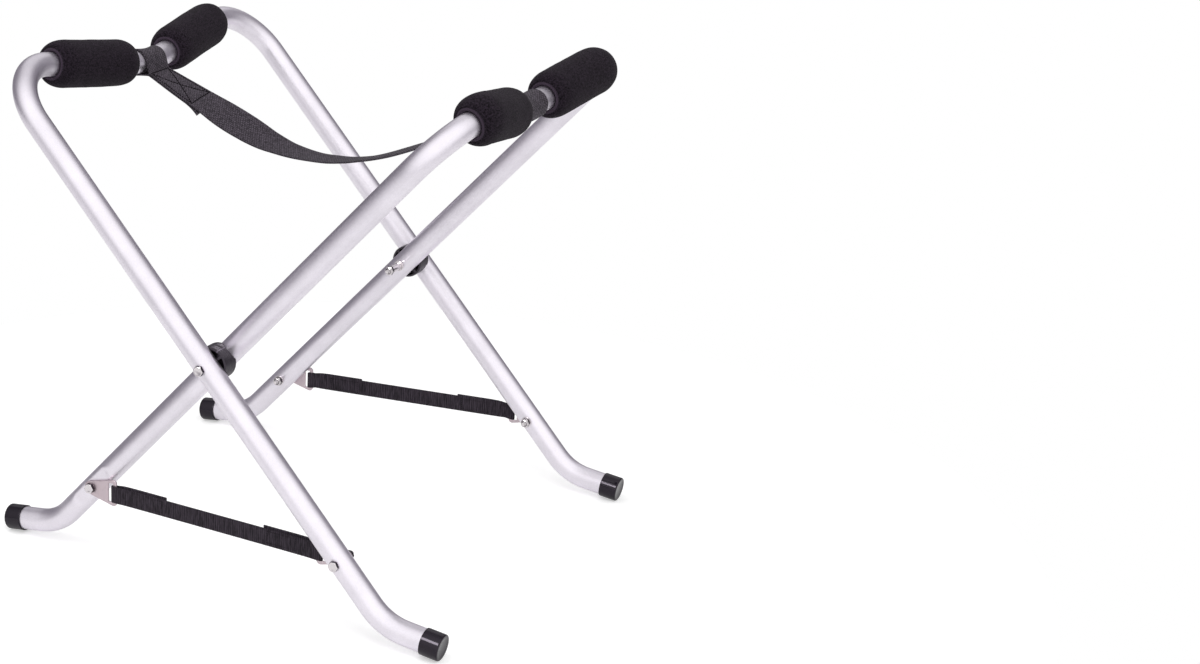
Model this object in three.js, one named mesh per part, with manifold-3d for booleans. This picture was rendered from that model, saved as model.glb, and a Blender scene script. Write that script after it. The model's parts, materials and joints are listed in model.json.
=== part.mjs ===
// Folding kayak stand. Two bent aluminium tubes cross in an X and turn on two pivot bolts.
// Foam sleeves cover their top bars, a webbing sling hangs between the bars, and two low
// webbing straps stop the frames when the stand is open.
// Millimetres. X runs across the stand, Y along the hull, Z is up, and the origin lies on
// the floor below the middle of the whole stand.
import * as THREE from "three";
import { mergeVertices } from "three/addons/utils/BufferGeometryUtils.js";
import Module from "manifold-3d";

const wasm = await Module();
wasm.setup();

const { cos, sin, tan, hypot, asin, atan2, sqrt, abs, min, max, PI } = Math;
const degrees = (angle) => (angle * PI) / 180;

// Clearances
const SEAT_GAP = 0.3; // between pieces that seat on each other
const WELD_DISTANCE = SEAT_GAP / 1000; // corners closer than this are one
const CUT_OVERRUN = 5; // how far every cut runs past the solid it cuts

// Tube and frames
const TUBE_DIAMETER = 25.4;
const TUBE_WALL = 1.6;
const OUTER_HALF_WIDTH = 235.2; // middle plane to a leg's centre line, wide frame
const LEG_GAP = 8.7; // clear gap between the crossing legs
const UPPER_LEG = 372.5; // pivot to the corner where leg and bar would meet
const LOWER_LEG = 311.5; // pivot to the corner where leg and foot would meet
const FOOT_LENGTH = 65; // that corner to the cap's end face
const LEG_ANGLE = degrees(47.7);
const BAR_DIP = degrees(10);
const FOOT_TILT = degrees(7);
const CORNER_RADIUS = 60;
const BAR_RADIUS = 90;
const FOOT_RADIUS = 62;

// Flats pressed into the lower legs for the strap brackets
const PRESS_MARGIN = 3; // flat beyond the bracket's height
const PRESS_RAMP = 9;

// Foot caps
const CAP_WALL = 1;
const CAP_LENGTH = 20.5;
const CAP_END = 3;
const CAP_EDGE = 1.5;
const CAP_FLAT = 0.5; // worn flat where a cap stands on the floor

// Foam sleeves
const FOAM_WALL = 12.2;
const FOAM_LENGTH = 122;
const FOAM_SPACING = 79; // clear bar between a pair of sleeves
const FOAM_EDGE = 16; // length of each rounded end
const FOAM_LIP = 3; // wall left at the end face

// Pivot saddles, two halves in each crossing
const SADDLE_WALL = 5.8; // beyond the tube, seen along the pivot
const SADDLE_WING = 5.65; // reach of each half past its tube's nearest line
const SADDLE_RIM = 2.2;
const SADDLE_RIB = 2;
const SADDLE_FLOOR = 2;
const SADDLE_HUB = 12.5;

// Hexagon hardware
const BOLT_DIAMETER = 6;
const HEX_RIM = 2; // thread to flat
const HEAD_HEIGHT = 4;
const NUT_HEX_HEIGHT = 4;
const NUT_COLLAR_HEIGHT = 1.6;
const NUT_COLLAR_STEP = 0.4;
const WASHER_RIM = 2.95;
const WASHER_THICKNESS = 1.6;
const BOLT_TIP = 3; // thread that shows past the nut
const BUSH_LENGTH = 20;
const BUSH_WALL = 1.2;

// Strap brackets
const BRACKET_BOLT_DOWN = 235; // along the leg from the pivot
const BRACKET_THICKNESS = 2;
const BRACKET_BOLT_RADIUS = 7.5;
const BRACKET_CORNER_RADIUS = 4.5;
const BRACKET_SIDE = 4.3; // metal above and below the slot
const SLOT_DISTANCE = 29.2; // bolt to the slot's edge that carries the strap
const SLOT_SLACK = 1.2; // room round the strap in its slot
const SLOT_CORNER_RADIUS = 1;
const SLOT_STRIP = 4.2; // metal between the slot and the wide edge

// Low webbing straps
const STRAP_WIDTH = 19;
const STRAP_THICKNESS = 1.6;
const STRAP_TAIL = 60; // folded-back end, from the bracket's wide edge
const STRAP_TAIL_LIFT = 3.5;
const STRAP_TAPER = 12; // where the loop closes to two flat layers

// Webbing sling
const SLING_WIDTH = 38;
const SLING_THICKNESS = 2;
const SLING_SAG = 70;
const SLING_SOFTNESS = 100; // half the length of its round bottom
const SLING_SEAM = 24; // bar axis to the seam that closes each loop
const SLING_TAIL = 52; // sewn overlap past that seam

// Facets
const TUBE_SIDES = 16;
const ROUND_SIDES = 20;
const BOLT_SIDES = 12;
const CORNER_STEPS = 6;
const FOOT_STEPS = 3;
const BAR_STEPS = 2;
const EDGE_STEPS = 3;
const SLING_STEPS = 14;

const TUBE_RADIUS = TUBE_DIAMETER / 2;
const CAP_RADIUS = TUBE_RADIUS + SEAT_GAP + CAP_WALL;
const FOAM_RADIUS = TUBE_RADIUS + SEAT_GAP + FOAM_WALL;
const SADDLE_RADIUS = TUBE_RADIUS + SADDLE_WALL;
const SADDLE_HALF_LENGTH = LEG_GAP / 2 + SADDLE_WING;
const BOLT_RADIUS = BOLT_DIAMETER / 2;
const HEX_RADIUS = (BOLT_RADIUS + HEX_RIM) / cos(PI / 6);
const NUT_COLLAR_RADIUS = BOLT_RADIUS + HEX_RIM - NUT_COLLAR_STEP;
const NUT_HEIGHT = NUT_HEX_HEIGHT + NUT_COLLAR_HEIGHT;
const WASHER_RADIUS = BOLT_RADIUS + SEAT_GAP + WASHER_RIM;
const BUSH_RADIUS = BOLT_RADIUS + SEAT_GAP + BUSH_WALL;
const STRAP_LOOP_RADIUS = BRACKET_THICKNESS / 2 + SEAT_GAP + STRAP_THICKNESS;
const SLOT_WIDTH = STRAP_LOOP_RADIUS + SLOT_SLACK;
const SLOT_LENGTH = STRAP_WIDTH + 2 * SLOT_SLACK;
const BRACKET_HEIGHT = SLOT_LENGTH + 2 * BRACKET_SIDE;
const BRACKET_EDGE = SLOT_DISTANCE + SLOT_STRIP;
const INNER_HALF_WIDTH = OUTER_HALF_WIDTH - TUBE_DIAMETER - LEG_GAP;
const SPLIT_PLANE = (OUTER_HALF_WIDTH + INNER_HALF_WIDTH) / 2;
const CAP_LOWEST = (CAP_RADIUS - CAP_EDGE) * cos(FOOT_TILT) + CAP_EDGE * (1 - sin(FOOT_TILT));
const FOOT_DROP = FOOT_LENGTH * sin(FOOT_TILT) + CAP_LOWEST - CAP_FLAT;
const PIVOT_HEIGHT = LOWER_LEG * sin(LEG_ANGLE) + FOOT_DROP;
const PIVOT = new THREE.Vector3(0, 0, PIVOT_HEIGHT);
const STRAP_HEIGHT = PIVOT_HEIGHT - BRACKET_BOLT_DOWN * sin(LEG_ANGLE);
const STRAP_BOLT_X = BRACKET_BOLT_DOWN * cos(LEG_ANGLE);
const PRESS_DEPTH = BRACKET_THICKNESS + SEAT_GAP; // brings the plates level with the tube
const PRESS_HALF_LENGTH = (BRACKET_HEIGHT / 2 + PRESS_MARGIN) / sin(LEG_ANGLE);
const PRESS_END = PRESS_HALF_LENGTH + PRESS_RAMP;

// The wide frame's bar lies at -X and the narrow frame's at +X. The brackets seat outside
// their legs, but the wide frame's near one seats inside.
const SIDES = { near: -1, far: 1 };
const OUTER = { name: "outer", halfWidth: OUTER_HALF_WIDTH, lean: -1, nearSeat: -1, farSeat: 1 };
const INNER = { name: "inner", halfWidth: INNER_HALF_WIDTH, lean: 1, nearSeat: 1, farSeat: 1 };
const seatSide = (frame, side) => (side === SIDES.near ? frame.nearSeat : frame.farSeat);

// Closed geometry to solid and back

function toSolid(geometry) {
  const bare = geometry.clone();
  bare.deleteAttribute("normal");
  bare.deleteAttribute("uv");
  const merged = mergeVertices(bare, WELD_DISTANCE);
  const corners = Array.from(merged.index.array);
  const kept = [];
  for (let i = 0; i < corners.length; i += 3) {
    const [a, b, c] = corners.slice(i, i + 3);
    if (a !== b && b !== c && c !== a) kept.push(a, b, c);
  }
  const vertProperties = new Float32Array(merged.attributes.position.array);
  const triVerts = new Uint32Array(kept);
  return new wasm.Manifold(new wasm.Mesh({ numProp: 3, vertProperties, triVerts }));
}

function toGeometry(solid) {
  const mesh = solid.getMesh();
  const geometry = new THREE.BufferGeometry();
  geometry.setAttribute("position", new THREE.BufferAttribute(mesh.vertProperties, 3));
  geometry.setIndex(new THREE.BufferAttribute(mesh.triVerts, 1));
  geometry.computeVertexNormals();
  return geometry;
}

// A bore that a round piece of this radius passes through, whatever the facets.
const boreFor = (radius, sides) => (radius + SEAT_GAP) / cos(PI / sides);

// Routes: straight runs joined by round bends. A station holds a place, the direction of
// travel, a side direction that never twists, and its distance along the route.

function station(at, along, side, distance = 0) {
  return { at, along, side, up: new THREE.Vector3().crossVectors(along, side), distance };
}

function bendPoints(before, corner, after) {
  const back = before.at.clone().sub(corner.at).normalize();
  const ahead = after.at.clone().sub(corner.at).normalize();
  if (!corner.radius) return [{ at: corner.at, along: ahead.clone() }];
  const turn = PI - back.angleTo(ahead);
  const inward = back.clone().add(ahead).normalize();
  const centre = corner.at.clone().addScaledVector(inward, corner.radius / cos(turn / 2));
  const start = corner.at.clone().addScaledVector(back, corner.radius * tan(turn / 2)).sub(centre);
  const onward = back.clone().negate();
  const points = [];
  for (let i = 0; i <= corner.steps; i++) {
    const angle = (turn * i) / corner.steps;
    const spoke = start.clone().multiplyScalar(cos(angle)).addScaledVector(onward, corner.radius * sin(angle));
    const along = onward.clone().multiplyScalar(cos(angle)).addScaledVector(start, -sin(angle) / corner.radius);
    points.push({ at: spoke.add(centre), along });
  }
  return points;
}

function makeRoute(corners, firstSide) {
  const first = corners[0];
  const last = corners[corners.length - 1];
  const points = [{ at: first.at, along: corners[1].at.clone().sub(first.at).normalize() }];
  for (let i = 1; i < corners.length - 1; i++) {
    points.push(...bendPoints(corners[i - 1], corners[i], corners[i + 1]));
  }
  points.push({ at: last.at, along: last.at.clone().sub(corners[corners.length - 2].at).normalize() });
  let side = firstSide;
  let distance = 0;
  return points.map((point, i) => {
    if (i) distance += point.at.distanceTo(points[i - 1].at);
    side = side.clone().addScaledVector(point.along, -side.dot(point.along)).normalize();
    return station(point.at, point.along, side, distance);
  });
}

function stationAt(route, distance) {
  let i = 1;
  while (i < route.length - 1 && route[i].distance < distance) i++;
  const [a, b] = [route[i - 1], route[i]];
  const share = (distance - a.distance) / (b.distance - a.distance);
  const along = a.along.clone().lerp(b.along, share).normalize();
  const side = a.side.clone().lerp(b.side, share);
  side.addScaledVector(along, -side.dot(along)).normalize();
  return station(a.at.clone().lerp(b.at, share), along, side, distance);
}

// The stations that a piece on the route needs to follow it from one distance to another.
function stretch(route, from, to) {
  const between = route.filter(({ distance }) => distance > from && distance < to);
  return [stationAt(route, from), ...between, stationAt(route, to)];
}

// Sweeps and turned pieces

function ring(place, radius, sides, shape = (point) => point) {
  const points = [];
  for (let i = 0; i < sides; i++) {
    const angle = (2 * PI * i) / sides;
    const point = place.at.clone().addScaledVector(place.side, radius * cos(angle));
    points.push(shape(point.addScaledVector(place.up, radius * sin(angle))));
  }
  return points;
}

// Skins rings into a closed body, such as a tube's outside and then its bore backwards.
function skin(rings) {
  const sides = rings[0].length;
  const positions = rings.flat().flatMap((point) => point.toArray());
  const index = [];
  rings.forEach((_, i) => {
    const next = (i + 1) % rings.length;
    for (let j = 0; j < sides; j++) {
      const across = (j + 1) % sides;
      const [a, b] = [i * sides + j, i * sides + across];
      const [c, d] = [next * sides + across, next * sides + j];
      index.push(a, b, c, a, c, d);
    }
  });
  const geometry = new THREE.BufferGeometry();
  geometry.setAttribute("position", new THREE.Float32BufferAttribute(positions, 3));
  geometry.setIndex(index);
  geometry.computeVertexNormals();
  return geometry;
}

// Turns a profile of [distance along, radius] pairs about a station's direction.
function turned(profile, place, sides) {
  const points = profile.map(([along, radius]) => new THREE.Vector2(radius, along));
  const geometry = new THREE.LatheGeometry(points, sides);
  const matrix = new THREE.Matrix4().makeBasis(place.up, place.along, place.side).setPosition(place.at);
  return geometry.applyMatrix4(matrix);
}

function rod(place, from, to, radius, sides) {
  return toSolid(turned([[from, 0], [from, radius], [to, radius], [to, 0]], place, sides));
}

// A washer, bush or sleeve.
function collar(place, from, to, bore, radius, sides) {
  const profile = [[from, bore], [from, radius], [to, radius], [to, bore], [from, bore]];
  return toSolid(turned(profile, place, sides));
}

// A place on a cross bolt's line, looking outwards from the stand's middle.
function boltPlace(x, z, side) {
  return station(new THREE.Vector3(x, 0, z), new THREE.Vector3(0, side, 0), new THREE.Vector3(1, 0, 0));
}

// Flat outlines

// Convex outline round circles named counter-clockwise as [x, y, radius].
function outlineRound(circles, steps) {
  const tangents = circles.map(([x, y, radius], i) => {
    const [nextX, nextY, nextRadius] = circles[(i + 1) % circles.length];
    const reach = hypot(nextX - x, nextY - y);
    return atan2(nextY - y, nextX - x) - PI / 2 + asin((radius - nextRadius) / reach);
  });
  const points = [];
  circles.forEach(([x, y, radius], i) => {
    const start = tangents[(i + circles.length - 1) % circles.length];
    const turn = (((tangents[i] - start) % (2 * PI)) + 2 * PI) % (2 * PI);
    for (let j = 0; j <= steps; j++) {
      const angle = start + (turn * j) / steps;
      points.push(new THREE.Vector2(x + radius * cos(angle), y + radius * sin(angle)));
    }
  });
  return points;
}

// Stands an outline drawn in X and Z up between two places on Y.
function standing(outline, from, to, holes = []) {
  const shape = new THREE.Shape(outline);
  shape.holes = holes.map((hole) => new THREE.Path(hole));
  const geometry = new THREE.ExtrudeGeometry(shape, { depth: abs(to - from), bevelEnabled: false, steps: 1 });
  geometry.rotateX(PI / 2);
  geometry.translate(0, max(from, to), 0);
  return toSolid(geometry);
}

// Lays an outline drawn in X and Y flat between two heights.
function lying(outline, from, to) {
  const shape = new THREE.Shape(outline);
  const geometry = new THREE.ExtrudeGeometry(shape, { depth: to - from, bevelEnabled: false, steps: 1 });
  geometry.translate(0, 0, from);
  return toSolid(geometry);
}

// Frames

const legDirection = (frame) => new THREE.Vector3(frame.lean * cos(LEG_ANGLE), 0, sin(LEG_ANGLE));

function frameRoute(frame, footLength) {
  const leg = legDirection(frame);
  const foot = new THREE.Vector3(-frame.lean * cos(FOOT_TILT), 0, -sin(FOOT_TILT));
  const onLeg = (distance, side) =>
    PIVOT.clone().addScaledVector(leg, distance).setY(side * frame.halfWidth);
  const pressOffsets = [-PRESS_END, -PRESS_HALF_LENGTH, PRESS_HALF_LENGTH, PRESS_END];
  const half = (side) => {
    const heel = onLeg(-LOWER_LEG, side);
    return [
      { at: heel.clone().addScaledVector(foot, footLength) },
      { at: heel, radius: FOOT_RADIUS, steps: FOOT_STEPS },
      ...pressOffsets.map((offset) => ({ at: onLeg(offset - BRACKET_BOLT_DOWN, side) })),
      { at: onLeg(UPPER_LEG, side), radius: CORNER_RADIUS, steps: CORNER_STEPS },
    ];
  };
  const middle = PIVOT.clone().addScaledVector(leg, UPPER_LEG - frame.halfWidth * tan(BAR_DIP));
  const corners = [
    ...half(SIDES.near),
    { at: middle, radius: BAR_RADIUS, steps: BAR_STEPS },
    ...half(SIDES.far).reverse(),
  ];
  return makeRoute(corners, new THREE.Vector3(0, 1, 0));
}

// Presses the wall flat round the bracket bolts, on the side where the brackets seat.
function pressed(frame, wall) {
  const leg = legDirection(frame);
  return (point) => {
    const fromBolt = abs(point.clone().sub(PIVOT).dot(leg) + BRACKET_BOLT_DOWN);
    const reach = (PRESS_END - fromBolt) / PRESS_RAMP;
    const depth = PRESS_DEPTH * max(0, min(1, reach));
    if (!depth) return point;
    const limit = TUBE_RADIUS - wall - depth;
    const side = point.y < 0 ? SIDES.near : SIDES.far;
    const seat = seatSide(frame, side);
    const outwards = (abs(point.y) - frame.halfWidth) * seat;
    point.y = side * (frame.halfWidth + seat * min(outwards, limit));
    return point;
  };
}

function frameTube(frame) {
  const route = frameRoute(frame, FOOT_LENGTH - CAP_END - SEAT_GAP);
  const outside = route.map((place) => ring(place, TUBE_RADIUS, TUBE_SIDES, pressed(frame, 0)));
  const bore = route.map((place) =>
    ring(place, TUBE_RADIUS - TUBE_WALL, TUBE_SIDES, pressed(frame, TUBE_WALL)));
  let tube = toSolid(skin([...outside, ...bore.reverse()]));
  const from = frame.halfWidth - TUBE_RADIUS - CUT_OVERRUN;
  const to = frame.halfWidth + TUBE_RADIUS + CUT_OVERRUN;
  const hole = boreFor(BOLT_RADIUS, BOLT_SIDES);
  for (const side of Object.values(SIDES)) {
    const bracketPlace = boltPlace(-frame.lean * STRAP_BOLT_X, STRAP_HEIGHT, side);
    tube = tube.subtract(rod(boltPlace(0, PIVOT_HEIGHT, side), from, to, hole, BOLT_SIDES));
    tube = tube.subtract(rod(bracketPlace, from, to, hole, BOLT_SIDES));
  }
  return tube;
}

// A foam sleeve with rounded ends that follows its bar and the start of the corner.
function foamSleeve(frame, side) {
  const route = frameRoute(frame, FOOT_LENGTH);
  const middle = route[route.length - 1].distance / 2;
  const reaches = [FOAM_SPACING / 2, FOAM_SPACING / 2 + FOAM_LENGTH].map((reach) => middle + side * reach);
  const start = min(...reaches);
  const end = max(...reaches);
  const edges = [];
  for (let i = 0; i <= EDGE_STEPS; i++) {
    const inset = FOAM_EDGE * (1 - cos((PI / 2) * (i / EDGE_STEPS)));
    edges.push(stationAt(route, start + inset), stationAt(route, end - inset));
  }
  const outerPlaces = [...edges, ...stretch(route, start, end).slice(1, -1)]
    .sort((a, b) => a.distance - b.distance);
  const outer = outerPlaces.map((place) => {
    const inset = min(place.distance - start, end - place.distance, FOAM_EDGE);
    const fall = 1 - sqrt(max(0, 1 - (1 - inset / FOAM_EDGE) ** 2));
    return ring(place, FOAM_RADIUS - (FOAM_WALL - FOAM_LIP) * fall, ROUND_SIDES);
  });
  const bore = stretch(route, start, end)
    .map((place) => ring(place, boreFor(TUBE_RADIUS, ROUND_SIDES), ROUND_SIDES));
  return toSolid(skin([...outer, ...bore.reverse()]));
}

function footCap(frame, side) {
  const route = frameRoute(frame, FOOT_LENGTH);
  const end = side === SIDES.near ? route[0] : route[route.length - 1];
  const inwards = side === SIDES.near ? 1 : -1;
  const place = station(end.at, end.along.clone().multiplyScalar(inwards), end.side);
  const bore = boreFor(TUBE_RADIUS, ROUND_SIDES);
  const profile = [[0, 0]];
  for (let i = 0; i <= EDGE_STEPS; i++) {
    const angle = (PI / 2) * (i / EDGE_STEPS);
    profile.push([CAP_EDGE * (1 - cos(angle)), CAP_RADIUS - CAP_EDGE * (1 - sin(angle))]);
  }
  profile.push([CAP_LENGTH, CAP_RADIUS], [CAP_LENGTH, bore], [CAP_END, bore], [CAP_END, 0]);
  const floor = [[-1, -1], [1, -1], [1, 1], [-1, 1]].map(([x, y]) => {
    const reach = CAP_RADIUS + CAP_LENGTH;
    return new THREE.Vector2(end.at.x + x * reach, end.at.y + y * reach);
  });
  return toSolid(turned(profile, place, ROUND_SIDES)).subtract(lying(floor, -CAP_RADIUS, 0));
}

// Half of the spacer in a crossing: a saddle that seats on its own tube, cored from there,
// with a flat face that turns on the other half.
function pivotSaddle(frame, side) {
  const place = boltPlace(0, PIVOT_HEIGHT, side);
  const outwards = frame === OUTER ? 1 : -1;
  const split = SPLIT_PLANE + (outwards * SEAT_GAP) / 2;
  const open = SPLIT_PLANE + outwards * SADDLE_HALF_LENGTH;
  const floor = split + outwards * SADDLE_FLOOR;
  const beyond = open + outwards * CUT_OVERRUN;
  const span = (a, b) => [min(a, b), max(a, b)];
  const body = rod(place, ...span(split, open), SADDLE_RADIUS, ROUND_SIDES);
  const leg = legDirection(frame);
  const seat = station(PIVOT.clone().setY(side * frame.halfWidth), leg, new THREE.Vector3(0, 1, 0));
  const beyondRim = SADDLE_RADIUS + CUT_OVERRUN;
  const tube = rod(seat, -beyondRim, beyondRim, boreFor(TUBE_RADIUS, TUBE_SIDES), TUBE_SIDES);
  const core = rod(place, ...span(floor, beyond), SADDLE_RADIUS - SADDLE_RIM, ROUND_SIDES);
  const across = new THREE.Vector2(-leg.z, leg.x);
  const rib = [[1, 1], [-1, 1], [-1, -1], [1, -1]].map(([far, wide]) => new THREE.Vector2(
    far * beyondRim * across.x + (wide * SADDLE_RIB * leg.x) / 2,
    PIVOT_HEIGHT + far * beyondRim * across.y + (wide * SADDLE_RIB * leg.z) / 2,
  ));
  const kept = standing(rib, side * floor, side * beyond)
    .add(rod(place, ...span(floor, beyond), SADDLE_HUB / 2, BOLT_SIDES));
  const hole = rod(place, ...span(split - outwards * CUT_OVERRUN, beyond), boreFor(BOLT_RADIUS, BOLT_SIDES), BOLT_SIDES);
  return body.subtract(core.subtract(kept)).subtract(tube).subtract(hole);
}

// Hardware

function hexBolt(place, headFace, tip) {
  const outwards = headFace > tip ? 1 : -1;
  const headTop = headFace + outwards * HEAD_HEIGHT;
  const head = rod(place, min(headFace, headTop), max(headFace, headTop), HEX_RADIUS, 6);
  const sunk = headFace + (outwards * HEAD_HEIGHT) / 2;
  return head.add(rod(place, min(tip, sunk), max(tip, sunk), BOLT_RADIUS, BOLT_SIDES));
}

function washer(place, from) {
  const bore = boreFor(BOLT_RADIUS, BOLT_SIDES);
  return collar(place, from - WASHER_THICKNESS, from, bore, WASHER_RADIUS, ROUND_SIDES);
}

// A lock nut: a hexagon with a round collar on its free end, towards the stand's middle.
function lockNut(place, from) {
  const bore = boreFor(BOLT_RADIUS, BOLT_SIDES);
  const hexEnd = from - NUT_HEX_HEIGHT;
  const end = hexEnd - NUT_COLLAR_HEIGHT;
  const body = rod(place, hexEnd, from, HEX_RADIUS, 6)
    .add(rod(place, end, from - NUT_HEX_HEIGHT / 2, NUT_COLLAR_RADIUS, BOLT_SIDES));
  return body.subtract(rod(place, end - CUT_OVERRUN, from + CUT_OVERRUN, bore, BOLT_SIDES));
}

// Bolt, washer, bush and nut stacked from the outside of the wide frame inwards.
function pivotHardware(side) {
  const place = boltPlace(0, PIVOT_HEIGHT, side);
  const headFace = OUTER_HALF_WIDTH + TUBE_RADIUS + SEAT_GAP;
  const washerFace = INNER_HALF_WIDTH - TUBE_RADIUS - SEAT_GAP;
  const bushFace = washerFace - WASHER_THICKNESS - SEAT_GAP;
  const nutFace = bushFace - BUSH_LENGTH - SEAT_GAP;
  const bore = boreFor(BOLT_RADIUS, BOLT_SIDES);
  return {
    pivot_bolt: hexBolt(place, headFace, nutFace - NUT_HEIGHT - BOLT_TIP),
    pivot_washer: washer(place, washerFace),
    pivot_bush: collar(place, bushFace - BUSH_LENGTH, bushFace, bore, BUSH_RADIUS, BOLT_SIDES),
    pivot_nut: lockNut(place, nutFace),
  };
}

// Where a leg's bracket seats, as the plate's inner and outer faces on Y.
function bracketFaces(frame, side) {
  const outwards = seatSide(frame, side);
  const seat = frame.halfWidth + outwards * (TUBE_RADIUS - PRESS_DEPTH + SEAT_GAP);
  const away = seat + outwards * BRACKET_THICKNESS;
  return [min(seat, away), max(seat, away)];
}

// The bracket's head is outside the leg and its nut inside, wherever the plate seats.
function bracketHardware(frame, side) {
  const place = boltPlace(-frame.lean * STRAP_BOLT_X, STRAP_HEIGHT, side);
  const [plateInner, plateOuter] = bracketFaces(frame, side);
  const plateOutside = seatSide(frame, side) > 0;
  const headSeat = plateOutside ? plateOuter : frame.halfWidth + TUBE_RADIUS;
  const washerSeat = plateOutside ? frame.halfWidth - TUBE_RADIUS : plateInner;
  const nutFace = washerSeat - SEAT_GAP - WASHER_THICKNESS - SEAT_GAP;
  return {
    bracket_bolt: hexBolt(place, headSeat + SEAT_GAP, nutFace - NUT_HEIGHT - BOLT_TIP),
    bracket_washer: washer(place, washerSeat - SEAT_GAP),
    bracket_nut: lockNut(place, nutFace),
  };
}

// Strap brackets, drawn from the bolt towards the middle of the stand

function strapBracket(frame, side) {
  const boltX = -frame.lean * STRAP_BOLT_X;
  const inwards = frame.lean;
  const cornerX = boltX + inwards * (BRACKET_EDGE - BRACKET_CORNER_RADIUS);
  const cornerRise = BRACKET_HEIGHT / 2 - BRACKET_CORNER_RADIUS;
  const slotX = boltX + inwards * (SLOT_DISTANCE - SLOT_WIDTH / 2);
  const slotRun = SLOT_WIDTH / 2 - SLOT_CORNER_RADIUS;
  const slotRise = SLOT_LENGTH / 2 - SLOT_CORNER_RADIUS;
  const circles = [
    [boltX, STRAP_HEIGHT, BRACKET_BOLT_RADIUS],
    [cornerX, STRAP_HEIGHT - inwards * cornerRise, BRACKET_CORNER_RADIUS],
    [cornerX, STRAP_HEIGHT + inwards * cornerRise, BRACKET_CORNER_RADIUS],
  ];
  const slotCorners = [[-1, -1], [1, -1], [1, 1], [-1, 1]]
    .map(([x, z]) => [slotX + x * slotRun, STRAP_HEIGHT + z * slotRise, SLOT_CORNER_RADIUS]);
  const slot = outlineRound(slotCorners, EDGE_STEPS);
  const [inner, outer] = bracketFaces(frame, side);
  const plate = standing(outlineRound(circles, EDGE_STEPS), side * inner, side * outer, [slot]);
  const place = boltPlace(boltX, STRAP_HEIGHT, side);
  const hole = boreFor(BOLT_RADIUS, BOLT_SIDES);
  return plate.subtract(rod(place, inner - CUT_OVERRUN, outer + CUT_OVERRUN, hole, BOLT_SIDES));
}

// Webbing

// A low strap: one flat layer between the brackets, whose ends loop round the brackets'
// slot strips and are sewn back on the side of the stand's middle.
function lowStrap(side) {
  const ends = [OUTER, INNER].map((frame) => {
    const inwards = frame.lean;
    const [inner, outer] = bracketFaces(frame, side);
    return {
      inwards,
      y: (side * (inner + outer)) / 2,
      stripX: -frame.lean * STRAP_BOLT_X + inwards * (BRACKET_EDGE - SLOT_STRIP / 2),
    };
  });
  const bottom = STRAP_HEIGHT - STRAP_WIDTH / 2;
  const top = STRAP_HEIGHT + STRAP_WIDTH / 2;
  const taperX = (end) => end.stripX + end.inwards * (SLOT_STRIP / 2 + STRAP_TAPER);
  const [right, left] = ends;
  const slope = (right.y - left.y) / (taperX(right) - taperX(left));
  const middleY = (x) => left.y + slope * (x - taperX(left));
  const band = (fromX, toX, low, high) => [
    new THREE.Vector2(fromX, middleY(fromX) + low),
    new THREE.Vector2(toX, middleY(toX) + low),
    new THREE.Vector2(toX, middleY(toX) + high),
    new THREE.Vector2(fromX, middleY(fromX) + high),
  ];
  const layer = (sign) => [min(0, sign * STRAP_THICKNESS), max(0, sign * STRAP_THICKNESS)];
  let strap = lying(band(taperX(left), taperX(right), ...layer(side)), bottom, top);
  for (const end of ends) {
    const turnX = end.stripX - (end.inwards * SLOT_STRIP) / 2;
    const tailX = end.stripX + end.inwards * (SLOT_STRIP / 2 + STRAP_TAIL);
    const sunkX = taperX(end) - end.inwards * STRAP_THICKNESS;
    const loop = outlineRound([
      [turnX, end.y, STRAP_LOOP_RADIUS],
      [taperX(end), middleY(taperX(end)), STRAP_THICKNESS],
    ], EDGE_STEPS);
    const tail = band(min(sunkX, tailX), max(sunkX, tailX), ...layer(-side));
    const clear = BRACKET_THICKNESS / 2 + SEAT_GAP;
    const stripFrom = turnX - end.inwards * SEAT_GAP;
    const stripTo = end.stripX + end.inwards * (SLOT_STRIP / 2 + SEAT_GAP);
    const strip = [[stripFrom, -clear], [stripTo, -clear], [stripTo, clear], [stripFrom, clear]]
      .map(([x, y]) => new THREE.Vector2(x, end.y + y));
    strap = strap
      .add(lying(tail, bottom + STRAP_TAIL_LIFT, top + STRAP_TAIL_LIFT))
      .add(lying(loop, bottom, top))
      .subtract(lying(strip, bottom - CUT_OVERRUN, top + CUT_OVERRUN));
  }
  return strap;
}

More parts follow.
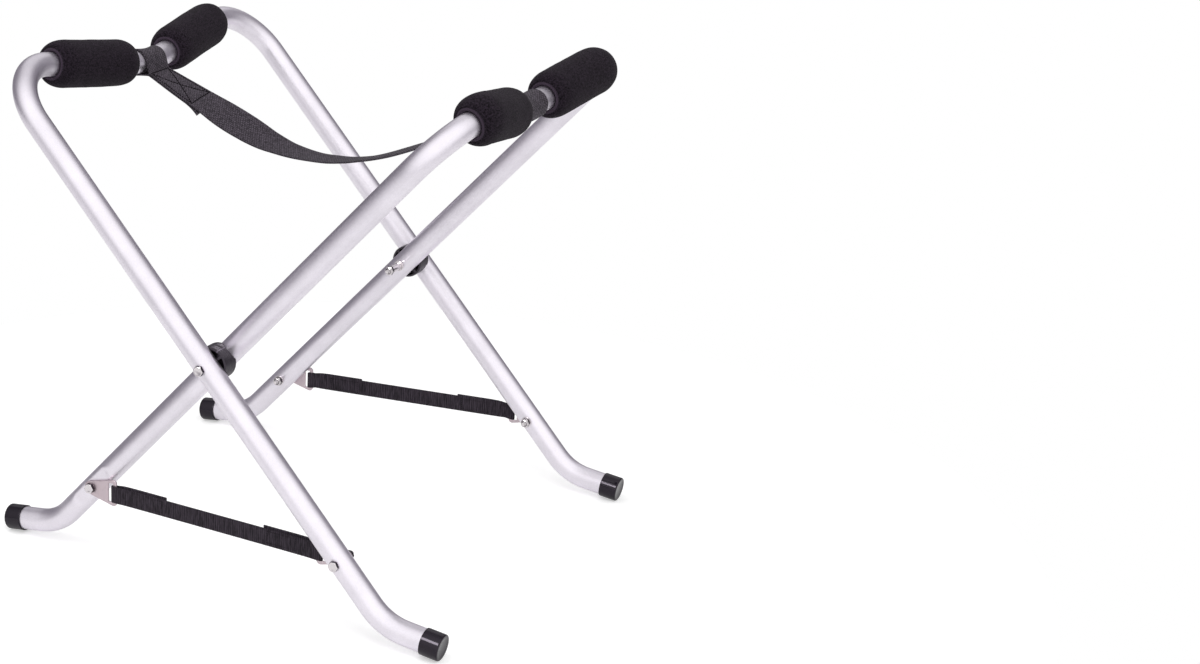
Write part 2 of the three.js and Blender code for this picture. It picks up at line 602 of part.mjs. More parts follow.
// The sling: a strap that hangs between the bars in a soft curve, with a sewn loop round
// each bar and the loop's end sewn on below.
function slingStrap() {
  const bars = [OUTER, INNER].map((frame) => {
    const route = frameRoute(frame, FOOT_LENGTH);
    const middle = route[route.length - 1].distance / 2;
    return { frame, route, middle, centre: stationAt(route, middle).at };
  });
  const half = SLING_WIDTH / 2;
  const span = (bars[1].centre.x - bars[0].centre.x) / 2 - SLING_SEAM * cos(BAR_DIP);
  const middleX = (bars[0].centre.x + bars[1].centre.x) / 2;
  const middleZ = (bars[0].centre.z + bars[1].centre.z) / 2;
  const seamRise = (bar) => bar.centre.z - SLING_SEAM / 2;
  const bottomZ = middleZ - SLING_SEAM / 2 - SLING_SAG;
  const softShare = (x) => sqrt(1 + (x / SLING_SOFTNESS) ** 2) - 1;
  const height = (share) => {
    const end = seamRise(share < 0 ? bars[0] : bars[1]);
    return bottomZ + (end - bottomZ) * (softShare(share * span) / softShare(span));
  };
  const curve = (fromShare, toShare, offset) => {
    const points = [];
    for (let i = 0; i <= SLING_STEPS; i++) {
      const share = fromShare + ((toShare - fromShare) * i) / SLING_STEPS;
      const step = 1 / SLING_STEPS;
      const rise = (height(share + step) - height(share - step)) / (2 * step * span);
      const long = hypot(1, rise);
      points.push(new THREE.Vector2(
        middleX + share * span - (offset * rise) / long,
        height(share) + offset / long,
      ));
    }
    return points;
  };
  const bandOutline = (from, to, low, high) => [...curve(from, to, low), ...curve(from, to, high).reverse()];
  let sling = standing(bandOutline(-1, 1, 0, SLING_THICKNESS), -half, half);
  const innerRadius = boreFor(TUBE_RADIUS, TUBE_SIDES);
  const loopRadius = innerRadius + SLING_THICKNESS;
  for (const bar of bars) {
    const side = bar.frame.lean;
    const tailShare = 1 - SLING_TAIL / span;
    const seam = [middleX + side * span, seamRise(bar), SLING_THICKNESS];
    const around = [bar.centre.x, bar.centre.z, loopRadius];
    const tail = bandOutline(side * tailShare, side, -SLING_THICKNESS, SLING_THICKNESS / 2);
    const roundBar = (reach, radius) => {
      const places = stretch(bar.route, bar.middle - reach, bar.middle + reach);
      const rings = places.map((place) => ring(place, radius, TUBE_SIDES));
      const firstTip = rings[0].map(() => places[0].at);
      const lastTip = rings[0].map(() => places[places.length - 1].at);
      return toSolid(skin([firstTip, ...rings, lastTip]));
    };
    sling = sling
      .add(standing(outlineRound([seam, around], ROUND_SIDES / 2), -half, half))
      .add(standing(tail, -half, half))
      .add(roundBar(half, loopRadius))
      .subtract(roundBar(half + CUT_OVERRUN, innerRadius));
  }
  return sling;
}

// Assembly

const finishes = {
  aluminium: { color: 0xd3d2d8, metalness: 0.9, roughness: 0.38 },
  steel: { color: 0xc9c7c9, metalness: 0.95, roughness: 0.3 },
  plastic: { color: 0x17171a, metalness: 0, roughness: 0.35 },
  foam: { color: 0x17171a, metalness: 0, roughness: 0.95 },
  webbing: { color: 0x1c1b20, metalness: 0, roughness: 0.85 },
};

const stand = new THREE.Group();

function addPiece(name, solid, finish) {
  const mesh = new THREE.Mesh(toGeometry(solid), new THREE.MeshStandardMaterial(finishes[finish]));
  mesh.name = name;
  stand.add(mesh);
}

for (const frame of [OUTER, INNER]) {
  addPiece(`${frame.name}_frame_tube`, frameTube(frame), "aluminium");
  for (const [sideName, side] of Object.entries(SIDES)) {
    const place = `${frame.name}_${sideName}`;
    addPiece(`foam_sleeve_${place}`, foamSleeve(frame, side), "foam");
    addPiece(`foot_cap_${place}`, footCap(frame, side), "plastic");
    addPiece(`pivot_saddle_${place}`, pivotSaddle(frame, side), "plastic");
    addPiece(`strap_bracket_${place}`, strapBracket(frame, side), "steel");
    for (const [kind, solid] of Object.entries(bracketHardware(frame, side))) {
      addPiece(`${kind}_${place}`, solid, "steel");
    }
  }
}
for (const [sideName, side] of Object.entries(SIDES)) {
  for (const [kind, solid] of Object.entries(pivotHardware(side))) {
    addPiece(`${kind}_${sideName}`, solid, "steel");
  }
  addPiece(`low_strap_${sideName}`, lowStrap(side), "webbing");
}
addPiece("sling_strap", slingStrap(), "webbing");

// The whole stand is moved along X until its box is centred, whichever of its feet and
// sleeves reach furthest.
const wholeBox = new THREE.Box3().setFromObject(stand);
stand.position.x = -(wholeBox.min.x + wholeBox.max.x) / 2;

export default stand;
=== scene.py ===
import json
import math
from functools import partial

import bmesh
import bpy
import numpy as np
from mathutils import Matrix, Vector, noise


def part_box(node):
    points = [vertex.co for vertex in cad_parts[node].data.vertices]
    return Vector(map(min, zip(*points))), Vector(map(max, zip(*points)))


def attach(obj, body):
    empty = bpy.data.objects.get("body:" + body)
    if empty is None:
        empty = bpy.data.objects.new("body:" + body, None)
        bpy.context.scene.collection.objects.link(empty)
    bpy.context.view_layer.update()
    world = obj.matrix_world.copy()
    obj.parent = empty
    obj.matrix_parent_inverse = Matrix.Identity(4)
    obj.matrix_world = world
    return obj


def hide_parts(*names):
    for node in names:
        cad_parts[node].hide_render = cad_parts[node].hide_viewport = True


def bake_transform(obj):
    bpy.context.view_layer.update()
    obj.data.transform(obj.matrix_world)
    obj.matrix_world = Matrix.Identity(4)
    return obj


bl_info = {
    "name": "Folding Kayak Stand",
    "version": (1, 0, 0),
    "blender": (4, 5, 0),
    "location": "View3D > Sidebar > Kayak Stand",
    "description": "Builds the finished surfaces of a folding kayak stand round its packed frame",
    "category": "Object",
}

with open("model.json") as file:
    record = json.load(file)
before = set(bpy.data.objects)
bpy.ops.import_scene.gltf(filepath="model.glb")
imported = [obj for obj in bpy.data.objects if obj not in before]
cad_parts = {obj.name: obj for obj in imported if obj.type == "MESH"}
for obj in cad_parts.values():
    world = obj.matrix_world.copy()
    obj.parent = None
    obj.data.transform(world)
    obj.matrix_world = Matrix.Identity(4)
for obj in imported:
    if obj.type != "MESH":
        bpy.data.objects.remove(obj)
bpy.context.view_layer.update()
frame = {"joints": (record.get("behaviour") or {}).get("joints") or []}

MM = 0.001
PIVOT = np.array(frame["joints"][0]["pos_m"])
SIDES = {"near": -1, "far": 1}
# The wide frame's bar lies at -X and its feet at +X. The narrow frame is the other way round.
LEAN = {"outer": -1, "inner": 1}
CORNERS = [(which, side_name) for which in LEAN for side_name in SIDES]
# The side of each leg that its strap bracket seats on: 1 outside, -1 inside.
SEAT_SIDE = {("outer", -1): -1, ("outer", 1): 1, ("inner", -1): 1, ("inner", 1): 1}

SPOKES = 96
BEND_STEP = math.radians(3)
SWEEP_STEP = 2.5 * MM
# The play of a sleeve or a loop round its bar, and how deep a sleeve's dents are.
BAR_PLAY = 0.35 * MM
DENT_DEPTH = 0.45 * MM
# The attribute that holds where a point lies on its own surface.
PLACE = "surface_place"
# Where round the pivot the mould line crosses the saddles' rims, drawn there as a painted highlight.
MOULD_ANGLE = math.radians(63)
# The bar of a bracket that its strap goes round, and the play of the strap in the slot.
BRACKET_STRIP, SLOT_SLACK = 4.2 * MM, 1.2 * MM
# The air between the two layers of a low strap's folded-back end.
LAYER_GAP = 0.04 * MM
# How far the sewn part reaches back from the ends of the free length towards the bars.
SEAM_TUCK = 8 * MM
# Where along X a low strap's sewn boxes start and end, to both sides of the middle.
SEWN_BOX = (66 * MM, 100 * MM)
ACROSS = np.array([0.0, 1.0, 0.0])


def length(default, name, description):
    """A length that a user can change, in metres, given here in millimetres."""
    return bpy.props.FloatProperty(
        name=name, description=description, default=default * MM, unit="LENGTH", precision=5
    )


def angle(default, name, description):
    """An angle that a user can change, in radians, given here in degrees."""
    return bpy.props.FloatProperty(
        name=name, description=description, default=math.radians(default), subtype="ANGLE"
    )


def colour(default, name, description):
    return bpy.props.FloatVectorProperty(
        name=name, description=description, default=default, subtype="COLOR", size=3, min=0, max=1
    )


class StandSizes(bpy.types.PropertyGroup):
    """Sizes of the stand, as its frame has them."""

    tube_diameter: length(25.4, "Tube", "Outside diameter of the frame tube")
    outer_half_width: length(235.2, "Wide half", "Middle plane to the wide frame's leg")
    inner_half_width: length(201.1, "Narrow half", "Middle plane to the narrow frame's leg")
    upper_leg: length(372.5, "Upper leg", "Pivot to the corner of leg and bar")
    lower_leg: length(311.5, "Lower leg", "Pivot to the corner of leg and foot")
    foot_length: length(65, "Foot", "Corner of leg and foot to the cap's end")
    leg_angle: angle(47.7, "Leg angle", "Angle between an open leg and the floor")
    bar_dip: angle(10, "Bar dip", "Angle by which each half of a bar falls to its middle")
    foot_tilt: angle(7, "Foot tilt", "Angle by which a foot falls outwards")
    corner_radius: length(60, "Corner bend", "Radius of the bend from leg to bar")
    bar_radius: length(90, "Bar bend", "Radius of the bend in the bar's middle")
    foot_radius: length(62, "Foot bend", "Radius of the bend from leg to foot")
    gap: length(0.3, "Clearance", "Clearance between pieces that seat on each other")
    press_depth: length(2.3, "Press depth", "Depth of the flats pressed for the brackets")
    press_length: length(48.7, "Press length", "Length of those flats along the leg")
    press_ramp: length(10, "Press ramp", "Run-out at each end of those flats")
    bolt_down: length(235, "Bracket bolt", "Pivot to the bracket bolt along the leg")
    cap_diameter: length(28, "Cap", "Outside diameter of a foot cap")
    cap_length: length(20.5, "Cap length", "Length of a foot cap")
    cap_end: length(3, "Cap end", "Thickness of a foot cap's end")
    sleeve_diameter: length(50.4, "Sleeve", "Outside diameter of a foam sleeve")
    sleeve_length: length(122, "Sleeve length", "Length of a foam sleeve along its bar")
    sleeve_spacing: length(79, "Sleeve spacing", "Bare bar between a pair of sleeves")
    sleeve_edge: length(20, "Sleeve edge", "Length of a sleeve's rounded end")
    sleeve_lip: length(3, "Sleeve lip", "Wall of a sleeve at its end face")
    saddle_diameter: length(37, "Saddle", "Outside diameter of a pivot saddle")
    saddle_length: length(10, "Saddle length", "Pivot plane to a saddle's wing tips")
    bolt_diameter: length(6, "Bolt", "Diameter of every bolt")
    head_flats: length(10, "Head", "Width across the flats of heads and nuts")
    head_height: length(4, "Head height", "Height of a bolt's head")
    nut_hex: length(4, "Nut height", "Height of a nut's hexagon")
    nut_collar: length(1.6, "Nut collar", "Height of a nut's round collar")
    washer_diameter: length(12.5, "Washer", "Outside diameter of a washer")
    washer_thickness: length(1.6, "Washer thickness", "Thickness of a washer")
    bush_diameter: length(9, "Bush", "Outside diameter of the bush on a pivot bolt")
    bush_length: length(20, "Bush length", "Length of the bush on a pivot bolt")
    bolt_tip: length(3, "Bolt tip", "Thread that shows past a nut")
    thread_pitch: length(1, "Thread pitch", "Pitch of the bolts' thread")
    plate: length(2, "Bracket plate", "Thickness of a strap bracket")
    strap_width: length(19, "Strap width", "Width of a low strap")
    strap_thickness: length(1.5, "Strap thickness", "Thickness of a low strap")
    strap_tail: length(64, "Strap tail", "Folded-back end of a low strap past its bracket")
    strap_lift: length(2.6, "Tail lift", "How far the folded-back end stands above its strap")
    strap_drop: length(1.1, "Strap drop", "How far a low strap has sunk in its slots")
    rib_pitch: length(2.3, "Rib pitch", "Pitch of the ribs across a low strap")
    sling_width: length(38, "Sling width", "Width of the sling")
    sling_thickness: length(1.9, "Sling thickness", "Thickness of the sling's webbing")
    sling_sag: length(70, "Sling sag", "Fall of the sling from its seams to its middle")
    sling_softness: length(100, "Sling softness", "Half the length of the sling's round bottom")
    sling_seam: length(24, "Sling seam", "Bar's axis to the end of the sling's free length")
    sling_tail: length(56, "Sling tail", "Length of the end sewn on below the sling")
    sling_rib: length(2.9, "Sling rib", "Pitch of the sling's weave along it")
    sling_yarn: length(2.3, "Sling yarn", "Pitch of the sling's weave across it")
    stitch_pitch: length(3.2, "Stitch pitch", "Pitch of the stitching")
    stitch_width: length(1.8, "Stitch width", "Thickness of the sewing thread")
    stitch_sink: length(0.6, "Stitch sink", "How deep the stitching draws the webbing in")


class StandColours(bpy.types.PropertyGroup):
    """Colours of the stand's finishes."""

    aluminium: colour((0.86, 0.82, 0.885), "Aluminium", "Satin tube")
    zinc: colour((0.74, 0.70, 0.72), "Zinc", "Bolts, nuts, washers and bushes")
    # Painted dark reflections on the flats of the bolt heads and nuts, and painted shade on their
    # chamfers, collars and recesses.
    flats: colour((0.05, 0.044, 0.054), "Flats", "Shaded flats of the bolt heads and nuts")
    bracket: colour((0.58, 0.49, 0.525), "Bracket", "Strap brackets")
    cap: colour((0.007, 0.005, 0.009), "Cap", "Glossy foot caps")
    spacer: colour((0.017, 0.0142, 0.0185), "Spacer", "Ribbed pivot saddles")
    foam: colour((0.0118, 0.0086, 0.0127), "Foam", "Foam sleeves' knitted skin")
    sling: colour((0.047, 0.0393, 0.0497), "Sling", "Sling's webbing")
    strap: colour((0.0245, 0.0193, 0.0261), "Low strap", "Low straps' webbing")
    thread: colour((0.006, 0.0045, 0.0065), "Thread", "Sewing thread")
    floor: colour((0.8, 0.8, 0.8), "Floor", "Floor under the stand")


def sizes():
    return bpy.context.scene.kayak_stand_sizes


def colours():
    return bpy.context.scene.kayak_stand_colours


# Lines and bends


def unit(vector):
    return vector / np.linalg.norm(vector)


def bend(before, corner, after, radius):
    """Points of the arc that rounds a route's corner."""
    back, ahead = unit(before - corner), unit(after - corner)
    turn = math.pi - math.acos(np.clip(back @ ahead, -1, 1))
    centre = corner + unit(back + ahead) * radius / math.cos(turn / 2)
    start = corner + back * radius * math.tan(turn / 2) - centre
    steps = np.linspace(0, turn, max(3, math.ceil(turn / BEND_STEP)) + 1)
    return [centre + start * math.cos(t) - back * radius * math.sin(t) for t in steps]


def route(corners):
    """A line through corners given as (point, bend radius)."""
    points = [corners[0][0]]
    for (before, _), (corner, radius), (after, _) in zip(corners, corners[1:], corners[2:]):
        points += bend(before, corner, after, radius)
    return np.array(points + [corners[-1][0]])


def distances(points):
    return np.concatenate([[0], np.cumsum(np.linalg.norm(np.diff(points, axis=0), axis=1))])


def along(points, at):
    """Points at these distances along a line."""
    run = distances(points)
    return np.stack([np.interp(at, run, points[:, k]) for k in range(3)], axis=1)


def spaced(points, step):
    """The same line with evenly spaced points."""
    total = distances(points)[-1]
    return along(points, np.linspace(0, total, max(2, round(total / step)) + 1))


def tangents(points):
    return unit_rows(np.gradient(points, axis=0))


def unit_rows(vectors):
    return vectors / np.linalg.norm(vectors, axis=1, keepdims=True)


def softened(points, rounds=2):
    """Cuts a line's corners, and keeps its ends."""
    for _ in range(rounds):
        cut = [points[:1]]
        for a, b in zip(points, points[1:]):
            cut.append(np.stack([a * 0.75 + b * 0.25, a * 0.25 + b * 0.75]))
        points = np.concatenate(cut + [points[-1:]])
    return points


def leg_direction(which):
    s = sizes()
    return np.array([LEAN[which] * math.cos(s.leg_angle), 0, math.sin(s.leg_angle)])


def half_width(which):
    s = sizes()
    return s.outer_half_width if which == "outer" else s.inner_half_width


def frame_line(which):
    """The centre line of a frame's tube, from its near foot to its far foot."""
    s = sizes()
    leg = leg_direction(which)
    foot = np.array([-LEAN[which] * math.cos(s.foot_tilt), 0, -math.sin(s.foot_tilt)])
    half = half_width(which)

    def side_corners(side):
        heel = PIVOT - leg * s.lower_leg + ACROSS * side * half
        corner = PIVOT + leg * s.upper_leg + ACROSS * side * half
        toe = heel + foot * s.foot_length
        return [(toe, 0), (heel, s.foot_radius), (corner, s.corner_radius)]

    middle = PIVOT + leg * (s.upper_leg - half * math.tan(s.bar_dip))
    far = side_corners(1)
    return route(side_corners(-1) + [(middle, s.bar_radius)] + far[::-1])


def bar_middle(which):
    line = frame_line(which)
    return along(line, [distances(line)[-1] / 2])[0]


def strap_bolt(which):
    """X and Z of a frame's bracket bolts."""
    place = PIVOT - leg_direction(which) * sizes().bolt_down
    return place[0], place[2]


def circle(centre, first, second, radius, count):
    """Points round a centre from the first direction through the second one and back."""
    angles = np.linspace(0, 2 * math.pi, count)
    return centre + radius * (np.outer(np.cos(angles), first) + np.outer(np.sin(angles), second))


# Meshes


def shown(name, mesh, material=None):
    """A new object in the scene with this material alone, if one is given."""
    item = bpy.data.objects.new(name, mesh)
    bpy.context.scene.collection.objects.link(item)
    if material:
        mesh.materials.clear()
        mesh.materials.append(material)
    return item


def smooth(mesh, crease):
    """Smooths the faces up to edges that are sharper than this many degrees."""
    mesh.polygons.foreach_set("use_smooth", [True] * len(mesh.polygons))
    mesh.set_sharp_from_angle(angle=math.radians(crease))


def store_place(mesh, places):
    """Keeps where each point lies on its surface, for the patterns that follow it."""
    attribute = mesh.attributes.new(PLACE, "FLOAT_VECTOR", "POINT")
    attribute.data.foreach_set("vector", np.asarray(places, np.float32).ravel())


def rings_mesh(name, rings, closed, places=None, crease=35):
    """Skins rings of points. closed joins the last ring to the first, or both ends get a face."""
    count, sides, _ = rings.shape
    faces = []
    for i in range(count if closed else count - 1):
        a, b = i * sides, (i + 1) % count * sides
        for j in range(sides):
            k = (j + 1) % sides
            faces.append((a + j, a + k, b + k, b + j))
    if not closed:
        faces.append(tuple(range(sides))[::-1])
        faces.append(tuple(range((count - 1) * sides, count * sides)))
    mesh = bpy.data.meshes.new(name)
    mesh.from_pydata(rings.reshape(-1, 3).tolist(), [], faces)
    if places is not None:
        store_place(mesh, places.reshape(-1, 3))
    outward(mesh)
    smooth(mesh, crease)
    return mesh


def points_of(mesh):
    return np.array([v.co for v in mesh.vertices])


def move_points(mesh, points):
    mesh.vertices.foreach_set("co", points.astype(np.float32).ravel())


def outward(mesh):
    """Turns the faces outwards where a closed mesh was skinned inside out."""
    points = points_of(mesh)
    mesh.calc_loop_triangles()
    a, b, c = (points[[t.vertices[k] for t in mesh.loop_triangles]] for k in range(3))
    if np.einsum("ij,ij->i", a, np.cross(b, c)).sum() < 0:
        mesh.flip_normals()


def spoke_angles():
    return np.arange(SPOKES) * 2 * math.pi / SPOKES


def turned(name, levels, place, material, closed=False, crease=35):
    """Turns levels of (along, radius) about a place's Z axis. Either may vary round the piece."""
    angles = spoke_angles()
    rings = np.zeros((len(levels), SPOKES, 3))
    for ring, (run, radius) in zip(rings, levels):
        ring[:, 0] = radius * np.cos(angles)
        ring[:, 1] = radius * np.sin(angles)
        ring[:, 2] = run
    matrix = np.array(place)
    rings = rings @ matrix[:3, :3].T + matrix[:3, 3]
    return shown(name, rings_mesh(name, rings, closed, crease=crease), material)


def facing(centre, axis):
    """A place whose Z axis points along axis."""
    turn = Vector(axis).to_track_quat("Z", "X").to_matrix().to_4x4()
    return Matrix.Translation(Vector(centre)) @ turn


def rounded_edge(run, radius, size, turn_in, count):
    """Levels of a rounded edge that ends at run. turn_in is 1 where it grows, -1 where it falls."""
    levels = []
    for t in np.linspace(0, math.pi / 2, count + 1):
        back, down = 1 - math.cos(t), 1 - math.sin(t)
        if turn_in < 0:
            back, down = -down, back
        levels.append((run + size * back, radius - size * down))
    return levels


def hexagon(flats):
    """Radius round a hexagon with slightly worn corners."""
    sixth = math.pi / 6
    off_flat = (spoke_angles() + sixth) % (2 * sixth) - sixth
    return np.minimum(flats / 2 / np.cos(off_flat), flats / 2 / math.cos(sixth) * 0.982)


def cut(item, tools):
    """Cuts tools from item and removes them."""
    for tool in tools:
        modifier = item.modifiers.new("Cut", "BOOLEAN")
        modifier.object = tool
        modifier.solver = "EXACT"
        baked(item)
        bpy.data.objects.remove(tool)


def final_mesh(item):
    """The mesh that an object's modifiers or curves make."""
    graph = bpy.context.evaluated_depsgraph_get()
    graph.update()
    final = item.evaluated_get(graph)
    return bpy.data.meshes.new_from_object(final, preserve_all_data_layers=True, depsgraph=graph)


def baked(item):
    """Makes an object's modifiers part of its mesh."""
    mesh = final_mesh(item)
    item.modifiers.clear()
    item.data = mesh
    return item


def flat_plate(name, outline, holes, thickness, edge, material):
    """A plate in X and Y with softened edges, centred on Z."""
    curve = bpy.data.curves.new(name, "CURVE")
    curve.dimensions = "2D"
    curve.fill_mode = "BOTH"
    curve.extrude = thickness / 2 - edge
    curve.bevel_depth = edge
    curve.bevel_resolution = 2
    curve.offset = -edge
    for points in [outline, *holes]:
        spline = curve.splines.new("POLY")
        spline.points.add(len(points) - 1)
        for point, (x, y) in zip(spline.points, points):
            point.co = (x, y, 0, 1)
        spline.use_cyclic_u = True
    source = shown(name + "_outline", curve)
    mesh = final_mesh(source)
    bpy.data.objects.remove(source)
    mesh.name = name
    merge(mesh, edge / 50)
    smooth(mesh, 50)
    return shown(name, mesh, material)


def merge(mesh, within):
    """Joins a mesh's doubled points."""
    work = bmesh.new()
    work.from_mesh(mesh)
    bmesh.ops.remove_doubles(work, verts=work.verts, dist=within)
    bmesh.ops.recalc_face_normals(work, faces=work.faces)
    work.to_mesh(mesh)
    work.free()


def circle_hull(circles):
    """Convex outline round circles given as (x, y, radius)."""
    per_circle, headings = 96, 144
    angles = np.linspace(0, 2 * math.pi, per_circle, endpoint=False)
    round_points = np.stack([np.cos(angles), np.sin(angles)], axis=1)
    points = np.concatenate([np.array([x, y]) + r * round_points for x, y, r in circles])
    centre = points.mean(axis=0)
    chosen = []
    for t in np.linspace(0, 2 * math.pi, headings, endpoint=False):
        best = int(np.argmax((points - centre) @ np.array([math.cos(t), math.sin(t)])))
        if best not in chosen:
            chosen.append(best)
    return points[chosen]


def line_mesh(name, lines):
    """A mesh of edges along these lines."""
    mesh = bpy.data.meshes.new(name)
    points = np.concatenate(lines)
    edges, start = [], 0
    for line in lines:
        edges += [(start + i, start + i + 1) for i in range(len(line) - 1)]
        start += len(line)
    mesh.from_pydata(points.tolist(), edges, [])
    return mesh


# Node trees


def node(tree, kind, given=None, **settings):
    """A new node with these properties, and with inputs given as numbers or as links."""
    made = tree.nodes.new(kind)
    for label, value in settings.items():
        setattr(made, label, value)
    give(tree, made, given or {})
    return made


def give(tree, made, given):
    """Sets a node's inputs, by name or place, to numbers or to links."""
    for label, value in given.items():
        if isinstance(value, bpy.types.NodeSocket):
            tree.links.new(value, made.inputs[label])
        else:
            made.inputs[label].default_value = value


def node_group(name, kind, inputs, outputs):
    """Makes a function that fills a node group give the group, which is filled only once.

    An input is given as its default number or as its socket's kind.
    """

    def add_socket(tree, way, label, value):
        kinds = {int: "Int", float: "Float"}
        socket_type = "NodeSocket" + kinds.get(type(value), value)
        socket = tree.interface.new_socket(label, in_out=way, socket_type=socket_type)
        if type(value) in kinds:
            socket.default_value = value

    def wrap(fill):
        def group():
            found = bpy.data.node_groups.get(name)
            if found:
                return found
            tree = bpy.data.node_groups.new(name, kind)
            for label, value in inputs.items():
                add_socket(tree, "INPUT", label, value)
            for label, value in outputs.items():
                add_socket(tree, "OUTPUT", label, value)
            results = fill(tree, tree.nodes.new("NodeGroupInput").outputs)
            node(tree, "NodeGroupOutput", dict(zip(outputs, results)))
            return tree

        return group

    return wrap


def geometry_group(name, inputs):
    """A group that turns a line into pieces, ended in Realize Instances and Set Material."""

    def wrap(fill):
        def finished(tree, given):
            real = node(tree, "GeometryNodeRealizeInstances", {"Geometry": fill(tree, given)})
            paint = {"Geometry": real.outputs[0], "Material": given["Material"]}
            return [node(tree, "GeometryNodeSetMaterial", paint).outputs[0]]

        sockets = {"Geometry": "Geometry", **inputs, "Material": "Material"}
        return node_group(name, "GeometryNodeTree", sockets, {"Geometry": "Geometry"})(finished)

    return wrap


def shader_group(name, inputs, outputs):
    """A group of maps that vary with a place on the surface."""
    results = {label: "Float" for label in outputs}
    return node_group(name, "ShaderNodeTree", {"Place": "Vector", **inputs}, results)


def run_tree(name, lines, tree, **values):
    """Runs a tree on a mesh of lines or points with these input values, and bakes what it makes."""
    item = shown(name, lines)
    modifier = item.modifiers.new("Build", "NODES")
    modifier.node_group = tree
    sockets = {i.name: i.identifier for i in tree.interface.items_tree if i.in_out == "INPUT"}
    for label, value in values.items():
        modifier[sockets[label]] = value
    return baked(item)


def maths(tree, operation, *values):
    """A math node's result. Each value is a number or a link."""
    return node(tree, "ShaderNodeMath", dict(enumerate(values)), operation=operation).outputs[0]


def vector_maths(tree, operation, *values):
    """A vector math node's results, by name. Each value is numbers or a link."""
    return node(tree, "ShaderNodeVectorMath", dict(enumerate(values)), operation=operation).outputs


def mapped(tree, value, low, high, to_low, to_high, kind="LINEAR"):
    """A value from one range moved into another and held there."""
    given = {"Value": value, "From Min": low, "From Max": high, "To Min": to_low, "To Max": to_high}
    return node(tree, "ShaderNodeMapRange", given, interpolation_type=kind).outputs["Result"]


def noise_at(tree, place, scale, detail, roughness=0.5):
    """Noise from 0 to 1 that varies with a place."""
    given = {"Vector": place, "Scale": scale, "Detail": detail, "Roughness": roughness}
    return node(tree, "ShaderNodeTexNoise", given).outputs["Fac"]


def parts_of(tree, vector):
    return node(tree, "ShaderNodeSeparateXYZ", {"Vector": vector}).outputs


def joined(tree, x, y, z):
    return node(tree, "ShaderNodeCombineXYZ", {"X": x, "Y": y, "Z": z}).outputs["Vector"]


def captured(tree, curve, label, value):
    """A curve that keeps a value at its points, and the value it keeps."""
    made = node(tree, "GeometryNodeCaptureAttribute", {"Geometry": curve}, domain="POINT")
    made.capture_items.new("FLOAT", label)
    give(tree, made, {1: value})
    return made.outputs[0], made.outputs[1]


@geometry_group("Swept Tube", {"Radius": 12.7 * MM, "Step": SWEEP_STEP, "Sides": 64})
def swept_tube(tree, given):
    """A tube along a line, with each point's place round and along it kept for its grain."""
    line = node(tree, "GeometryNodeMeshToCurve", {"Mesh": given["Geometry"]}).outputs[0]
    steps = {"Curve": line, "Length": given["Step"]}
    even = node(tree, "GeometryNodeResampleCurve", steps, mode="LENGTH").outputs[0]
    spline = node(tree, "GeometryNodeSplineParameter").outputs
    path, run = captured(tree, even, "Run", spline["Length"])
    sizes_given = {"Radius": given["Radius"], "Resolution": given["Sides"]}
    rim = node(tree, "GeometryNodeCurvePrimitiveCircle", sizes_given, mode="RADIUS").outputs[0]
    rim, turn = captured(tree, rim, "Turn", spline["Factor"])
    sweep = {"Curve": path, "Profile Curve": rim, "Fill Caps": True}
    skin = node(tree, "GeometryNodeCurveToMesh", sweep).outputs[0]
    angle_round = maths(tree, "MULTIPLY", turn, 2 * math.pi)
    flat = [
        maths(tree, "MULTIPLY", maths(tree, kind, angle_round), given["Radius"])
        for kind in ("COSINE", "SINE")
    ]
    store = {"Geometry": skin, "Name": PLACE, "Value": joined(tree, *flat, run)}
    keep = node(
        tree, "GeometryNodeStoreNamedAttribute", store, data_type="FLOAT_VECTOR", domain="POINT"
    )
    return node(tree, "GeometryNodeSetShadeSmooth", {"Geometry": keep.outputs[0]}).outputs[0]


@geometry_group("Stitches", {"Pitch": 3 * MM, "Width": 0.7 * MM, "Fill": 0.84, "Seed": 7})
def stitches(tree, given):
    """Stitches laid end to end along lines."""
    line = node(tree, "GeometryNodeMeshToCurve", {"Mesh": given["Geometry"]}).outputs[0]
    steps = {"Curve": line, "Length": given["Pitch"]}
    points = node(tree, "GeometryNodeCurveToPoints", steps, mode="LENGTH").outputs
    bead = node(tree, "GeometryNodeMeshUVSphere", {"Segments": 8, "Rings": 6, "Radius": 0.5})
    long = maths(tree, "MULTIPLY", given["Pitch"], given["Fill"])
    size = joined(tree, given["Width"], given["Width"], long)
    shape = {"Geometry": bead.outputs["Mesh"], "Scale": size}
    shaped = node(tree, "GeometryNodeTransform", shape).outputs[0]
    spread = {"Min": (0.9, 0.9, 0.88), "Max": (1.1, 1.1, 1.06), "Seed": given["Seed"]}
    vary = node(tree, "FunctionNodeRandomValue", spread, data_type="FLOAT_VECTOR")
    placed = {"Points": points["Points"], "Rotation": points["Rotation"]}
    copied = {"Instance": shaped, "Scale": vary.outputs["Value"], **placed}
    copies = node(tree, "GeometryNodeInstanceOnPoints", copied).outputs[0]
    return node(tree, "GeometryNodeSetShadeSmooth", {"Geometry": copies}).outputs[0]


